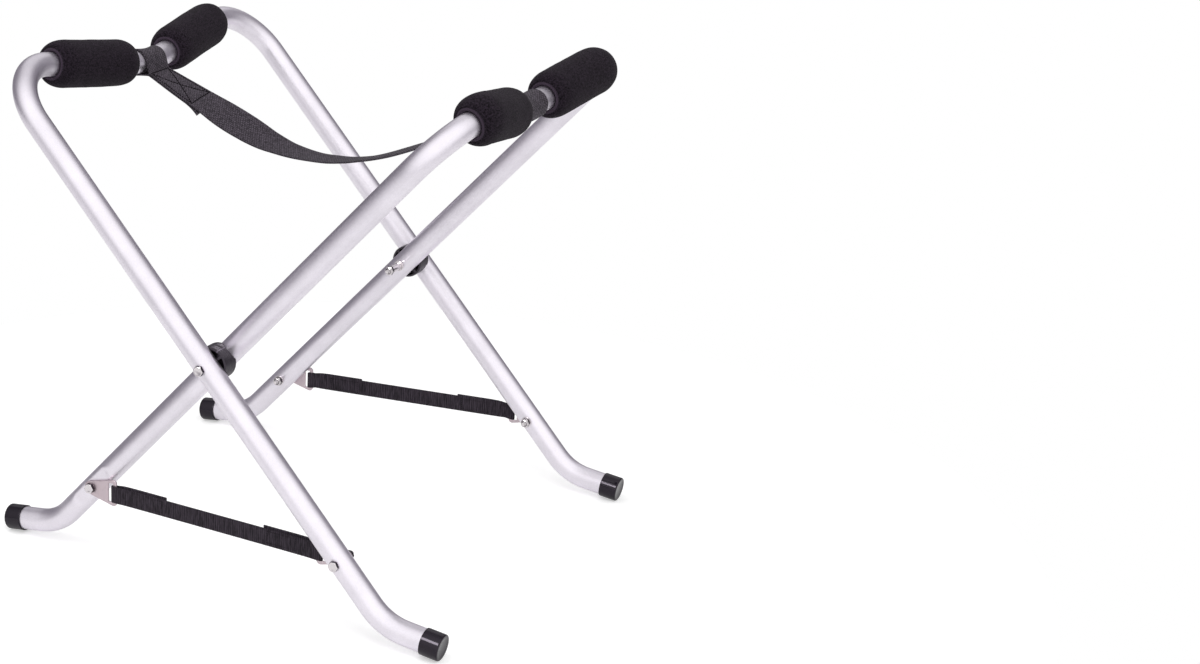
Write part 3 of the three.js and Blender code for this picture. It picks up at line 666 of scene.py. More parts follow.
@geometry_group(
    "Screw Thread", {"Radius": 2.8 * MM, "Ridge": 0.42 * MM, "Turns": 3.0, "Height": 3 * MM}
)
def screw_thread(tree, given):
    """A screw thread along Y from each point."""
    radii = {"Start Radius": given["Radius"], "End Radius": given["Radius"]}
    coil = {**radii, "Rotations": given["Turns"], "Height": given["Height"], "Resolution": 24}
    spiral = node(tree, "GeometryNodeCurveSpiral", coil).outputs[0]
    corner = {"Radius": given["Ridge"], "Resolution": 4}
    ridge = node(tree, "GeometryNodeCurvePrimitiveCircle", corner, mode="RADIUS").outputs[0]
    sweep = {"Curve": spiral, "Profile Curve": ridge, "Fill Caps": True}
    skin = node(tree, "GeometryNodeCurveToMesh", sweep).outputs[0]
    lay = {"Geometry": skin, "Rotation": (-math.pi / 2, 0, 0)}
    laid = node(tree, "GeometryNodeTransform", lay).outputs[0]
    points = node(tree, "GeometryNodeMeshToPoints", {"Mesh": given["Geometry"]}).outputs[0]
    copied = {"Points": points, "Instance": laid}
    return node(tree, "GeometryNodeInstanceOnPoints", copied).outputs[0]


@shader_group("Drawn Grain", {"Fineness": 1500.0, "Clouds": 26.0}, ("Lines", "Cloudiness"))
def drawn_grain(tree, given):
    """Fine drawn lines along a surface, with a broader cloudiness."""
    drawn = node(tree, "ShaderNodeMapping", {"Vector": given["Place"], "Scale": (1, 1, 0.3)})
    lines = noise_at(tree, drawn.outputs["Vector"], given["Fineness"], 2)
    return lines, noise_at(tree, given["Place"], given["Clouds"], 4, 0.6)


@shader_group("Speckle And Scuffs", {"Fineness": 1800.0, "Scuffs": 120.0}, ("Speckle", "Scuffs"))
def speckle_and_scuffs(tree, given):
    """Fine moulded or brushed speckle with scattered scuffs."""
    marks = noise_at(tree, given["Place"], given["Scuffs"], 6, 0.7)
    speckle = noise_at(tree, given["Place"], given["Fineness"], 2)
    return speckle, mapped(tree, marks, 0.52, 0.72, 0.0, 1.0)


@shader_group(
    "Woven Webbing",
    {
        "Rib Pitch": 1.45 * MM,
        "Yarn Pitch": 1.1 * MM,
        "Slant": 0.5,
        "Yarn Depth": 1.0,
        "Fuzz Width": 1.0,
        "Fuzz Fineness": 620.0,
    },
    ("Height", "Yarn"),
)
def woven_webbing(tree, given):
    """Webbing: yarns across its ribs, laid by place in metres across and along."""
    calc = partial(maths, tree)
    place = parts_of(tree, given["Place"])
    across = calc("DIVIDE", place["X"], given["Yarn Pitch"])
    run = calc("DIVIDE", place["Z"], given["Rib Pitch"])
    shifted = calc("ADD", run, calc("MULTIPLY", calc("FLOOR", across), given["Slant"]))
    rib, yarn = (
        calc("ABSOLUTE", calc("SINE", calc("MULTIPLY", wave, math.pi))) for wave in (shifted, across)
    )
    shallow = calc("MULTIPLY", calc("SUBTRACT", 1.0, yarn), given["Yarn Depth"])
    round_yarn = calc("POWER", calc("SUBTRACT", 1.0, shallow), 0.5)
    raised = calc("MULTIPLY", calc("POWER", rib, 0.6), round_yarn)
    wide = joined(tree, given["Fuzz Width"], 1, 1)
    spread = vector_maths(tree, "MULTIPLY", given["Place"], wide)["Vector"]
    fuzz = noise_at(tree, spread, given["Fuzz Fineness"], 3, 0.65)
    height = calc("ADD", raised, calc("MULTIPLY", fuzz, 0.35))
    # Yarn is the raised weave, 0 in its grooves and varied at random by the fuzz; as a colour it gives
    # the grooves painted shade.
    return height, calc("MULTIPLY", raised, mapped(tree, fuzz, 0.4, 0.6, 0.35, 1.25))


@shader_group("Brushed Knit", {"Wale Pitch": 1.3 * MM}, ("Height", "Nap"))
def brushed_knit(tree, given):
    """A brushed knitted skin: short nap over fine wales."""
    calc = partial(maths, tree)
    run = calc("DIVIDE", parts_of(tree, given["Place"])["Z"], given["Wale Pitch"])
    wobbled = calc("ADD", run, noise_at(tree, given["Place"], 90, 2))
    wales = calc("SINE", calc("MULTIPLY", wobbled, 2 * math.pi))
    nap = noise_at(tree, given["Place"], 1250, 3, 0.7)
    tufts = noise_at(tree, given["Place"], 600, 3, 0.65)
    soft = calc("ADD", calc("MULTIPLY", wales, 0.1), nap)
    height = calc("ADD", soft, calc("MULTIPLY", tufts, 0.8))
    return height, calc("MULTIPLY", calc("ADD", nap, tufts), 0.5)


# Materials


def principled(name, own, paint):
    """The material of this name. paint gives its shader's inputs, when it is first made.

    own is whether its maps follow each surface's own stored place, or the place in the stand.
    """
    found = bpy.data.materials.get(name)
    if found:
        return found
    material = bpy.data.materials.new(name)
    material.use_nodes = True
    tree = material.node_tree
    if own:
        place = node(tree, "ShaderNodeAttribute", attribute_name=PLACE).outputs["Vector"]
    else:
        place = node(tree, "ShaderNodeTexCoord").outputs["Object"]
    give(tree, tree.nodes["Principled BSDF"], paint(tree, place))
    return material


def maps(tree, group, place, **values):
    """The maps of a group at a place, with these of its inputs changed."""
    given = {label.replace("_", " "): value for label, value in values.items()}
    return node(tree, "ShaderNodeGroup", {"Place": place, **given}, node_tree=group).outputs


def mixed(tree, factor, first, second):
    """A colour mix. Each colour is (r, g, b) or a link."""
    a, b = (c if isinstance(c, bpy.types.NodeSocket) else (*c, 1) for c in (first, second))
    return node(tree, "ShaderNodeMix", {"Factor": factor, 6: a, 7: b}, data_type="RGBA").outputs[2]


def bumped(tree, height, distance, strength):
    given = {"Strength": strength, "Distance": distance, "Height": height}
    return node(tree, "ShaderNodeBump", given).outputs["Normal"]


def shade_of(base, factor):
    return tuple(min(1, part * factor) for part in base)


def aluminium():
    """Satin tube with faint drawn lines and a cloudy sheen."""

    def paint(tree, place):
        base = colours().aluminium
        lines, clouds = maps(tree, drawn_grain(), place)
        patches = mapped(tree, maths(tree, "ADD", clouds, lines), 0.75, 1.25, 0, 1)
        return {
            "Metallic": 1,
            "Base Color": mixed(tree, patches, shade_of(base, 0.93), shade_of(base, 1.05)),
            "Roughness": mapped(tree, lines, 0.3, 0.7, 0.33, 0.45),
            "Normal": bumped(tree, lines, 0.02 * MM, 0.1),
        }

    return principled("satin_aluminium", True, paint)


def metal(name, base, low, high, fineness):
    """Plated or rolled metal with speckle and scuffs."""

    def paint(tree, place):
        speckle, scuffs = maps(tree, speckle_and_scuffs(), place, Fineness=fineness, Scuffs=180)
        return {
            "Metallic": 1,
            "Base Color": mixed(tree, scuffs, base, shade_of(base, 0.86)),
            "Roughness": mapped(tree, speckle, 0.3, 0.7, low, high),
            "Normal": bumped(tree, speckle, 0.03 * MM, 0.3),
        }

    return principled(name, False, paint)


def zinc():
    return metal("bright_zinc", colours().zinc, 0.1, 0.2, 2400)


def mould_line_highlight(tree, place):
    """1 along the lines that the mould leaves across the saddles' rims, where a painted highlight goes,
    0 elsewhere.
    """
    across = (-math.sin(MOULD_ANGLE), 0, math.cos(MOULD_ANGLE))
    reach = vector_maths(tree, "DOT_PRODUCT", place, across)["Value"]
    off = maths(tree, "ABSOLUTE", maths(tree, "SUBTRACT", reach, float(PIVOT @ across)))
    return mapped(tree, off, 0.5 * MM, 0.9 * MM, 1.0, 0.0)


def plastic(name, base, low, high, depth, specular, line=0):
    """Moulded plastic with speckle and scuffs. line is how much lighter the painted highlight along its
    mould line is.
    """

    def paint(tree, place):
        speckle, scuffs = maps(tree, speckle_and_scuffs(), place, Fineness=1400, Scuffs=90)
        tone = mixed(tree, scuffs, base, shade_of(base, 1.5))
        if line:
            # The mould line is only a lighter colour here: a painted highlight.
            tone = mixed(tree, mould_line_highlight(tree, place), tone, shade_of(base, line))
        return {
            "Base Color": tone,
            "Roughness": mapped(tree, scuffs, 0, 1, low, high),
            "Specular IOR Level": specular,
            "Specular Tint": (0.95, 0.86, 1, 1),
            "Normal": bumped(tree, speckle, depth, 0.4),
        }

    return principled(name, False, paint)


def spacer_plastic():
    # The saddles' mould line gets a painted highlight, 9 times lighter than the plastic.
    return plastic("moulded_plastic", colours().spacer, 0.28, 0.42, 0.05 * MM, 0.6, 9)


def rim_mask(tree, place):
    """1 on the cut edge round a sleeve's bore, 0 elsewhere."""
    apart = parts_of(tree, place)
    radius = vector_maths(tree, "LENGTH", joined(tree, apart["X"], apart["Y"], 0))["Value"]
    edge = sizes().tube_diameter / 2 + 3.6 * MM
    return mapped(tree, radius, edge, edge + 0.7 * MM, 1.0, 0.0)


def foam():
    """Brushed knitted skin of a foam sleeve."""

    def paint(tree, place):
        base = colours().foam
        height, nap = maps(tree, brushed_knit(), place)
        fleck = mapped(tree, nap, 0.41, 0.6, 0, 1)
        tone = mixed(tree, fleck, shade_of(base, 0.12), shade_of(base, 2.8))
        return {
            "Base Color": mixed(tree, rim_mask(tree, place), tone, shade_of(base, 4.6)),
            "Roughness": 0.95,
            "Specular IOR Level": 0.06,
            "Sheen Weight": 0.04,
            "Sheen Roughness": 0.5,
            "Normal": bumped(tree, height, 0.4 * MM, 0.7),
        }

    return principled("brushed_knit", True, paint)


def webbing(name, base, depth, **weave_values):
    def paint(tree, place):
        height, yarn = maps(tree, woven_webbing(), place, **weave_values)
        # The weave's grooves are painted darker, as painted shade, and the fuzz varies the tone at
        # random.
        return {
            "Base Color": mixed(tree, yarn, shade_of(base, 0.2), shade_of(base, 2.3)),
            "Roughness": mapped(tree, yarn, 0, 1, 0.9, 0.65),
            "Specular IOR Level": 0.15,
            "Sheen Weight": 0.05,
            "Normal": bumped(tree, height, depth, 0.7),
        }

    return principled(name, True, paint)


def sling_webbing():
    s = sizes()
    weave = {"Rib_Pitch": s.sling_rib, "Yarn_Pitch": s.sling_yarn}
    return webbing("sling_webbing", colours().sling, 0.22 * MM, **weave)


def strap_webbing():
    ribs = {"Rib_Pitch": sizes().rib_pitch, "Yarn_Pitch": 4 * MM, "Slant": 0.0}
    spread = {"Yarn_Depth": 0.1, "Fuzz_Width": 0.1, "Fuzz_Fineness": 900}
    return webbing("ribbed_webbing", colours().strap, 0.15 * MM, **ribs, **spread)


def thread():
    """Sewing thread with its twist."""

    def paint(tree, place):
        base = colours().thread
        speckle, _ = maps(tree, speckle_and_scuffs(), place, Fineness=5200, Scuffs=900)
        return {
            "Base Color": mixed(tree, speckle, shade_of(base, 0.7), shade_of(base, 1.4)),
            "Roughness": 0.85,
            "Specular IOR Level": 0.1,
            "Normal": bumped(tree, speckle, 0.08 * MM, 0.6),
        }

    return principled("sewing_thread", False, paint)


# Pieces


def fitted(item, which, replaced=None):
    """Lets a finished piece ride its frame, in place of a CAD node if one is named."""
    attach(item, f"{which}_frame")
    if replaced:
        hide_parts(replaced)


def mirrors(item):
    """Lets the lamp that only glossy pieces show be mirrored in a piece."""
    glossy_pieces().objects.link(item)
    return item


def press_flats(mesh, which):
    """Presses the tube wall flat where the brackets seat."""
    s = sizes()
    points = points_of(mesh)
    half = half_width(which)
    run = np.abs((points - PIVOT) @ leg_direction(which) + s.bolt_down)
    share = np.clip((s.press_length / 2 + s.press_ramp - run) / s.press_ramp, 0, 1)
    depth = s.press_depth * share * share * (3 - 2 * share)
    side = np.where(points[:, 1] < 0, -1, 1)
    seat = np.where(side < 0, SEAT_SIDE[which, -1], SEAT_SIDE[which, 1])
    limit = s.tube_diameter / 2 - depth
    soft = 0.7 * MM
    over = (np.abs(points[:, 1]) - half) * seat - limit + soft
    bulge = soft * (1 - np.exp(-np.maximum(over, 0) / soft))
    eased = limit - soft + np.where(over > 0, bulge, over)
    pressed = (points[:, 2] < PIVOT[2]) & (depth > 0)
    points[pressed, 1] = (side * (half + seat * eased))[pressed]
    move_points(mesh, points)


def make_tube(which):
    """A frame's bent tube, between its caps' ends, pressed flat for its brackets."""
    s = sizes()
    line = frame_line(which)
    end = s.cap_end + s.gap
    run = distances(line)
    trimmed = along(line, np.concatenate([[end], run[1:-1], [run[-1] - end]]))
    name = f"{which}_tube"
    lines = line_mesh(name, [trimmed])
    shape = {"Radius": s.tube_diameter / 2, "Step": SWEEP_STEP, "Sides": 64}
    item = run_tree(name, lines, swept_tube(), **shape, Material=aluminium())
    press_flats(item.data, which)
    item.data.set_sharp_from_angle(angle=math.radians(50))
    fitted(item, which, f"{which}_frame_tube")


def sleeve_profile():
    """Half of a sleeve's outside, as (inset from its end, radius), from the bore outwards."""
    s = sizes()
    bore = s.tube_diameter / 2 + BAR_PLAY
    rim = [(3.6, 0), (1.6, 0.1), (0.7, 0.7), (0.1, 1.6), (0, 2.5), (0.35, 3.3), (1.3, 3.75), (1.2, 4.2)]
    points = [(inset * MM, bore + more * MM) for inset, more in rim]
    start, low = 0.9 * MM, bore + 4.6 * MM
    for t in np.linspace(0.06, 1, 16) * math.pi / 2:
        inset = start + (s.sleeve_edge - start) * (1 - math.cos(t))
        points.append((inset, low + (s.sleeve_diameter / 2 - low) * math.sin(t)))
    return softened(np.array(points))


def bar_frame(which, side, insets, step):
    """Where insets from a sleeve's inner end lie on its bar, with two directions round it."""
    line = frame_line(which)
    at = distances(line)[-1] / 2 + side * (sizes().sleeve_spacing / 2 + insets)
    ahead = unit_rows(along(line, at + step) - along(line, at - step))
    flat = unit(np.cross(leg_direction(which), ACROSS))
    return along(line, at), flat, np.cross(ahead, flat)


def sleeve_rings(which, side):
    """Closed rings of a sleeve that follows its bar into the corner, and their places."""
    s = sizes()
    total, wide = s.sleeve_length, s.sleeve_diameter / 2
    half = sleeve_profile()
    body = np.arange(half[-1, 0] + SWEEP_STEP, total - half[-1, 0], SWEEP_STEP)
    outer = [*half, *((d, wide) for d in body), *((total - d, r) for d, r in half[::-1])]
    inner = [(d, half[0, 1]) for d in np.linspace(total - half[0, 0], half[0, 0], 30)[1:-1]]
    profile = np.array(outer + inner)
    centres, flat, up = bar_frame(which, side, profile[:, 0], 0.5 * MM)
    cosines, sines = np.cos(spoke_angles()), np.sin(spoke_angles())
    rings, places = np.zeros((2, len(profile), SPOKES, 3))
    for i, (run, radius) in enumerate(profile):
        spokes = np.outer(cosines, flat) + np.outer(sines, up[i])
        rings[i] = centres[i] + spokes * radius
        if radius > wide - 8 * MM:
            dents = [noise.noise(Vector(p * 34)) + 0.4 * noise.noise(Vector(p * 90)) for p in rings[i]]
            rings[i] += spokes * (np.array(dents) * DENT_DEPTH)[:, None]
        places[i] = np.stack([radius * cosines, radius * sines, np.full(SPOKES, run)], axis=1)
    return rings, places


def sewn(name, lines, pitch, width, fill, material):
    """Stitches along these lines, as one object."""
    values = {"Pitch": pitch, "Width": width, "Fill": fill, "Material": material}
    return run_tree(name, line_mesh(name, lines), stitches(), **values)


def make_sleeve(which, side_name):
    """A foam sleeve with the hem sewn round each of its ends."""
    s = sizes()
    side = SIDES[side_name]
    rings, places = sleeve_rings(which, side)
    name = f"sleeve_{which}_{side_name}"
    item = shown(name, rings_mesh(name, rings, True, places, crease=80), foam())
    fitted(item, which, f"foam_sleeve_{which}_{side_name}")
    seam, inset = s.tube_diameter / 2 + 4.3 * MM, 1.35 * MM
    lines = []
    for run in (inset, s.sleeve_length - inset):
        centre, flat, up = bar_frame(which, side, np.array([run]), MM)
        lines.append(circle(centre, flat, up[0], seam, SPOKES + 1))
    hem = sewn(f"{name}_hem", lines, 2.6 * MM, 0.6 * MM, 0.8, foam())
    fitted(hem, which)


def make_cap(which, side_name):
    """A foot cap with a dished end, worn flat where it stands."""
    s = sizes()
    line = frame_line(which)
    if side_name == "far":
        line = line[::-1]
    radius, end = s.cap_diameter / 2, s.cap_length
    bore = s.tube_diameter / 2 + s.gap
    dish, lip = 0.35 * MM, 0.5 * MM
    levels = [(dish, 0), (dish, radius * 0.62), (dish * 0.6, radius * 0.68), (0.0, radius * 0.74)]
    levels += rounded_edge(0, radius, 1.5 * MM, 1, 7)
    levels += [(end * share, radius) for share in (0.3, 0.6, 0.85)]
    levels += rounded_edge(end, radius, lip, -1, 4)
    levels += [(end, bore + 0.15 * MM), (end - 0.4 * MM, bore), (s.cap_end, bore), (s.cap_end, 0)]
    black = plastic("glossy_plastic", colours().cap, 0.1, 0.18, 0.02 * MM, 0.38)
    place = facing(line[0], unit(line[1] - line[0]))
    item = turned(f"cap_{which}_{side_name}", levels, place, black, crease=50)
    points = points_of(item.data)
    points[:, 2] = np.maximum(points[:, 2], 0)
    move_points(item.data, points)
    fitted(mirrors(item), which, f"foot_cap_{which}_{side_name}")


def saddle_levels(radius, end):
    """Levels of a saddle's ribbed outside, from the pivot plane outwards."""
    levels = [(0, 0)] + rounded_edge(0, radius, 0.5 * MM, 1, 3)
    pitch, root = 2.2 * MM, radius - 0.5 * MM
    run = 1.0 * MM
    while run + pitch < end - 0.4 * MM:
        levels += [(run, radius), (run + pitch * 0.55, radius)]
        levels += [(run + pitch * share, root) for share in (0.68, 0.87)]
        run += pitch
    return levels + [(run, radius)] + rounded_edge(end, radius, 0.4 * MM, -1, 3) + [(end, 0)]


def make_saddle(which, side_name):
    """Half a pivot spacer: ribbed outside, cut to sit on its tube, cored from there."""
    s = sizes()
    side = SIDES[side_name]
    out = ACROSS * (side if which == "outer" else -side)
    split = (s.outer_half_width + s.inner_half_width) / 2
    place = facing(np.array([PIVOT[0], side * split, PIVOT[2]]) + out * s.gap / 2, out)
    radius, end = s.saddle_diameter / 2, s.saddle_length - s.gap / 2
    item = turned(
        f"saddle_{which}_{side_name}", saddle_levels(radius, end), place, spacer_plastic(), crease=30
    )
    leg = leg_direction(which)
    tools = [pocket(place, leg, half, end + 5 * MM, radius - 2.2 * MM) for half in (-1, 1)]
    seat = facing(PIVOT + ACROSS * side * half_width(which), leg)
    reach = radius * 2
    for centre, bore in ((seat, s.tube_diameter), (place, s.bolt_diameter)):
        hole = bore / 2 + s.gap
        levels = [(-reach, 0), (-reach, hole), (reach, hole), (reach, 0)]
        tools.append(turned("bore_tool", levels, centre, spacer_plastic()))
    cut(item, tools)
    smooth(item.data, 30)
    fitted(mirrors(item), which, f"pivot_saddle_{which}_{side_name}")


def pocket(place, leg, half, high, wall):
    """The tool that cores one side of a saddle, beside the rib that runs across its tube."""
    hub, floor = 6.25 * MM, 2 * MM
    turn = place.to_3x3().inverted() @ Vector(leg)
    heading = math.atan2(turn.y, turn.x) + (0 if half > 0 else math.pi)
    spread = math.pi / 2 - 0.09
    arc = np.linspace(-spread, spread, 40) + heading
    outline = [(wall * math.cos(t), wall * math.sin(t)) for t in arc]
    outline += [(hub * math.cos(t), hub * math.sin(t)) for t in arc[::-1]]
    rings = np.array([[place @ Vector((x, y, level)) for x, y in outline] for level in (floor, high)])
    return shown("pocket_tool", rings_mesh("pocket_tool", rings, False), spacer_plastic())


def chamfered(hexed, flats):
    """The radius of a hexagon's round top, and how far its corners are chamfered below it."""
    round_top = flats / 2 * 0.95
    return round_top, np.maximum(hexed - round_top, 0) * math.tan(math.radians(30))


def hex_levels(flats, height):
    """Levels of a hexagon with a chamfered, slightly dished top, from its seat upwards."""
    hexed = hexagon(flats)
    round_top, slope = chamfered(hexed, flats)
    collar, foot = flats / 2 * 0.96, 0.25 * MM
    levels = [(0, collar), (foot, collar), (foot, hexed), (height - slope, hexed)]
    levels += [(height, round_top), (height, round_top * 0.72)]
    return levels + [(height - foot, round_top * 0.6), (height - foot, 0)]


def bolt(name, x, z, head_face, tip):
    """A hexagon bolt whose head seats at head_face and whose shank ends at tip, both on Y."""
    s = sizes()
    outwards = 1 if head_face > tip else -1
    shank = abs(head_face - tip)
    radius = s.bolt_diameter / 2
    root = radius - 0.35 * MM
    threaded = 16 * MM
    levels = [(-shank, 0), (-shank, root - 0.5 * MM), (-shank + 0.5 * MM, root)]
    levels += [(-threaded if threaded < shank else -shank / 2, root)]
    levels += [(levels[-1][0] + 0.4 * MM, radius), (0, radius)]
    levels += hex_levels(s.head_flats, s.head_height)
    item = turned(name, levels, facing((x, head_face, z), ACROSS * outwards), zinc(), crease=25)
    # Painted dark reflections on the head's flats, painted shade on the tip's chamfer and on the
    # thread's shoulder.
    paint_shade_rings(item, (1, 3, len(levels) - 6))
    return item


def paint_shade_rings(item, rings):
    """Gives the faces from each of these rings to the next one a darker zinc: painted dark reflections
    on flats and painted shade on chamfers, collars and recesses.
    """
    item.data.materials.append(metal("shade_painted_zinc", colours().flats, 0.2, 0.36, 2400))
    for ring in rings:
        for face in item.data.polygons[ring * SPOKES : (ring + 1) * SPOKES]:
            face.material_index = 1


def nut(name, x, z, face, inwards):
    """A lock nut that seats at face and points inwards, both on Y."""
    s = sizes()
    hexed = hexagon(s.head_flats)
    round_top, slope = chamfered(hexed, s.head_flats)
    bore = s.bolt_diameter / 2 + 0.12 * MM
    end = s.nut_hex + s.nut_collar
    collar = s.head_flats / 2 - 0.4 * MM
    levels = [(0, bore), (0, round_top), (slope, hexed), (s.nut_hex - slope, hexed)]
    levels += [(s.nut_hex, collar), (end - 0.9 * MM, collar)]
    levels += [(end - 0.35 * MM, collar - 0.25 * MM), (end, collar - 0.9 * MM)]
    levels += [(end, bore + 0.5 * MM), (end - 0.3 * MM, bore)]
    place = facing((x, face, z), ACROSS * inwards)
    item = turned(name, levels, place, zinc(), closed=True, crease=25)
    # Painted dark reflections on the hexagon's flats and collar, painted shade in the bore's chamfer at
    # the end.
    paint_shade_rings(item, (2, 4, 8))
    return item


def ring_piece(name, x, z, face, inwards, radius, thick, edge):
    """A washer or bush with softened edges that starts at face and runs inwards."""
    s = sizes()
    bore = s.bolt_diameter / 2 + s.gap
    levels = [(thick, bore), (0, bore)] + rounded_edge(0, radius, edge, 1, 3)
    levels += rounded_edge(thick, radius, edge, -1, 3)
    place = facing((x, face, z), ACROSS * inwards)
    return turned(name, levels, place, zinc(), closed=True, crease=40)


def make_stack(which, side_name, kind, key, place, head, washer):
    """A bolt with its washer, the bush that pivots have, and its nut. Gives back the bolt's tip.

    place is the bolt's X and Z. The head and the washer seat this far from the middle plane.
    """
    s = sizes()
    side = SIDES[side_name]
    x, z = place
    rings = [("washer", s.washer_diameter, s.washer_thickness, 0.3 * MM)]
    if kind == "pivot":
        rings.append(("bush", s.bush_diameter, s.bush_length, 0.4 * MM))
    lock = washer - sum(thick + s.gap for _, _, thick, _ in rings)
    tip = lock - s.nut_hex - s.nut_collar - s.bolt_tip

    def seat(item, piece):
        fitted(mirrors(item), which, f"{kind}_{piece}_{key}")

    seat(bolt(f"bolt_{kind}_{key}", x, z, side * head, side * tip), "bolt")
    face = washer
    for piece, diameter, thick, edge in rings:
        name = f"{piece}_{kind}_{key}"
        seat(ring_piece(name, x, z, side * face, -side, diameter / 2, thick, edge), piece)
        face -= thick + s.gap
    seat(nut(f"nut_{kind}_{key}", x, z, side * lock, -side), "nut")
    return (x, side * tip, z)


def make_pivot_hardware(side_name):
    """What holds a pivot, from the outside of the wide frame inwards."""
    s = sizes()
    radius = s.tube_diameter / 2
    head = s.outer_half_width + radius + s.gap
    washer = s.inner_half_width - radius - s.gap
    place = (PIVOT[0], PIVOT[2])
    return make_stack("outer", side_name, "pivot", side_name, place, head, washer)


def bracket_faces(which, side):
    """The inner and outer face of a leg's bracket, on Y."""
    s = sizes()
    outwards = SEAT_SIDE[which, side]
    seat = half_width(which) + outwards * (s.tube_diameter / 2 - s.press_depth + s.gap)
    return sorted([seat, seat + outwards * s.plate])


def make_bracket_hardware(which, side_name):
    """What holds a bracket on its leg, from the outside of the stand inwards."""
    s = sizes()
    side = SIDES[side_name]
    inner, outer = bracket_faces(which, side)
    half, radius = half_width(which), s.tube_diameter / 2
    outside = SEAT_SIDE[which, side] > 0
    head = (outer if outside else half + radius) + s.gap
    washer = (half - radius if outside else inner) - s.gap
    key = f"{which}_{side_name}"
    return make_stack(which, side_name, "bracket", key, strap_bolt(which), head, washer)


def make_threads(which, tips):
    """The threads that show past the nuts of a body's bolts."""
    s = sizes()
    show, inset = s.bolt_tip + 0.6 * MM, 0.35 * MM
    points = [(x, y - show if y < 0 else y + inset, z) for x, y, z in tips]
    name = f"threads_{which}"
    mesh = bpy.data.meshes.new(name)
    mesh.from_pydata(points, [], [])
    values = {
        "Radius": s.bolt_diameter / 2 - 0.4 * MM,
        "Ridge": 0.38 * MM,
        "Turns": (show - inset) / s.thread_pitch,
        "Height": show - inset,
        "Material": zinc(),
    }
    fitted(run_tree(name, mesh, screw_thread(), **values), which)


def make_bracket(which, side_name):
    """A strap bracket: a slotted plate that widens from its bolt to its strap."""
    s = sizes()
    node_name = f"strap_bracket_{which}_{side_name}"
    low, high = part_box(node_name)
    x, z = strap_bolt(which)
    inwards = LEAN[which]
    edge = (high.x if inwards > 0 else low.x) - x
    corner, slot_corner = 4.5 * MM, 1 * MM
    tall = (high.z - low.z) / 2 - corner
    corners = [(edge - inwards * corner, up * tall, corner) for up in (-1, 1)]
    outline = circle_hull([(0, 0, 7.5 * MM), *corners])
    slot_high = s.strap_width / 2 + SLOT_SLACK - slot_corner
    slot_far = abs(edge) - BRACKET_STRIP
    slot_near = slot_far - (s.plate / 2 + s.gap + 1.6 * MM + SLOT_SLACK + 2.2 * MM)
    slot = circle_hull([
        (inwards * run, up * slot_high, slot_corner)
        for run in (slot_near + slot_corner, slot_far - slot_corner)
        for up in (-1, 1)
    ])
    bore = s.bolt_diameter / 2 + s.gap
    hole = circle(np.zeros(2), (1, 0), (0, 1), bore, 33)[:-1]
    steel = metal("rolled_plate", colours().bracket, 0.3, 0.44, 1500)
    name = f"bracket_{which}_{side_name}"
    item = flat_plate(name, outline, [slot, hole], s.plate, 0.35 * MM, steel)
    middle = SIDES[side_name] * sum(bracket_faces(which, SIDES[side_name])) / 2
    item.data.transform(Matrix.Translation((x, middle, z)) @ Matrix.Rotation(math.pi / 2, 4, "X"))
    fitted(mirrors(item), which, node_name)


# Webbing


def band_section(width, thickness, count):
    """A flat section with rounded selvedges, as offsets across and through the webbing."""
    edge = thickness * 0.5
    across = np.linspace(-width / 2 + edge, width / 2 - edge, count)
    turn = np.linspace(math.pi / 2, -math.pi / 2, 5)[1:-1]
    top = [(u, thickness / 2) for u in across]
    right = [(width / 2 - edge + edge * math.cos(t), edge * math.sin(t)) for t in turn]
    bottom = [(u, -thickness / 2) for u in across[::-1]]
    left = [(-width / 2 + edge - edge * math.cos(t), -edge * math.sin(t)) for t in turn]
    return np.array(top + right + bottom + left)


def band(centres, sides, section, ribs=None):
    """Sweeps a flat section along a line whose width direction is given at each point.

    ribs is their pitch, and how much of the thickness is lost between them.
    """
    sides = unit_rows(sides)
    through = unit_rows(np.cross(tangents(centres), sides))
    run = distances(centres)
    rings, places = np.zeros((2, len(centres), len(section), 3))
    for i in range(len(centres)):
        thick = section[:, 1]
        if ribs:
            pitch, depth = ribs
            thick = thick * (1 - depth * (1 - abs(math.sin(math.pi * run[i] / pitch))) ** 1.5)
        rings[i] = centres[i] + np.outer(section[:, 0], sides[i]) + np.outer(thick, through[i])
        places[i, :, :2] = section
        places[i, :, 2] = run[i]
    return rings, places


def strap_line(side):
    """The middle of a low strap in plan, from one folded-back end to the other, with its height."""
    s = sizes()
    ends = {}
    for which, inwards in LEAN.items():
        low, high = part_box(f"strap_bracket_{which}_{'near' if side < 0 else 'far'}")
        edge = high.x if inwards > 0 else low.x
        ends[inwards] = (edge, side * sum(bracket_faces(which, side)) / 2)
    left, right = ends[1], ends[-1]
    slope = (right[1] - left[1]) / (right[0] - left[0])
    half = s.strap_thickness / 2 + LAYER_GAP
    turn = s.plate / 2 + s.gap + s.strap_thickness / 2
    height = strap_bolt("outer")[1] - s.strap_drop
    taper, step, lift = 14 * MM, 4 * MM, s.strap_lift

    def end_points(edge, y, inwards):
        """Tail end, round the bracket's strip, to the free length. The tail lies inside."""

        def at(run, off, up):
            return np.array([edge + inwards * run, y + slope * inwards * run + side * off, height + up])

        arc = [
            at(-BRACKET_STRIP - turn * math.cos(t), turn * math.sin(t), 0)
            for t in np.linspace(-math.pi / 2, math.pi / 2, 13)
        ]
        tail = [at(run, -half, lift) for run in (s.strap_tail, (s.strap_tail + taper) / 2, taper)]
        tail += [at(step, -turn * 0.8, lift * 0.5), at(0, -turn, lift * 0.15)]
        return tail + arc + [at(0, turn, 0), at(taper, half, 0)]

    first, last = end_points(*left, 1), end_points(*right, -1)
    return spaced(softened(np.array(first + last[::-1])), 0.3 * MM)


def carried(item):
    """Makes a piece's place part of its mesh."""
    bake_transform(item)


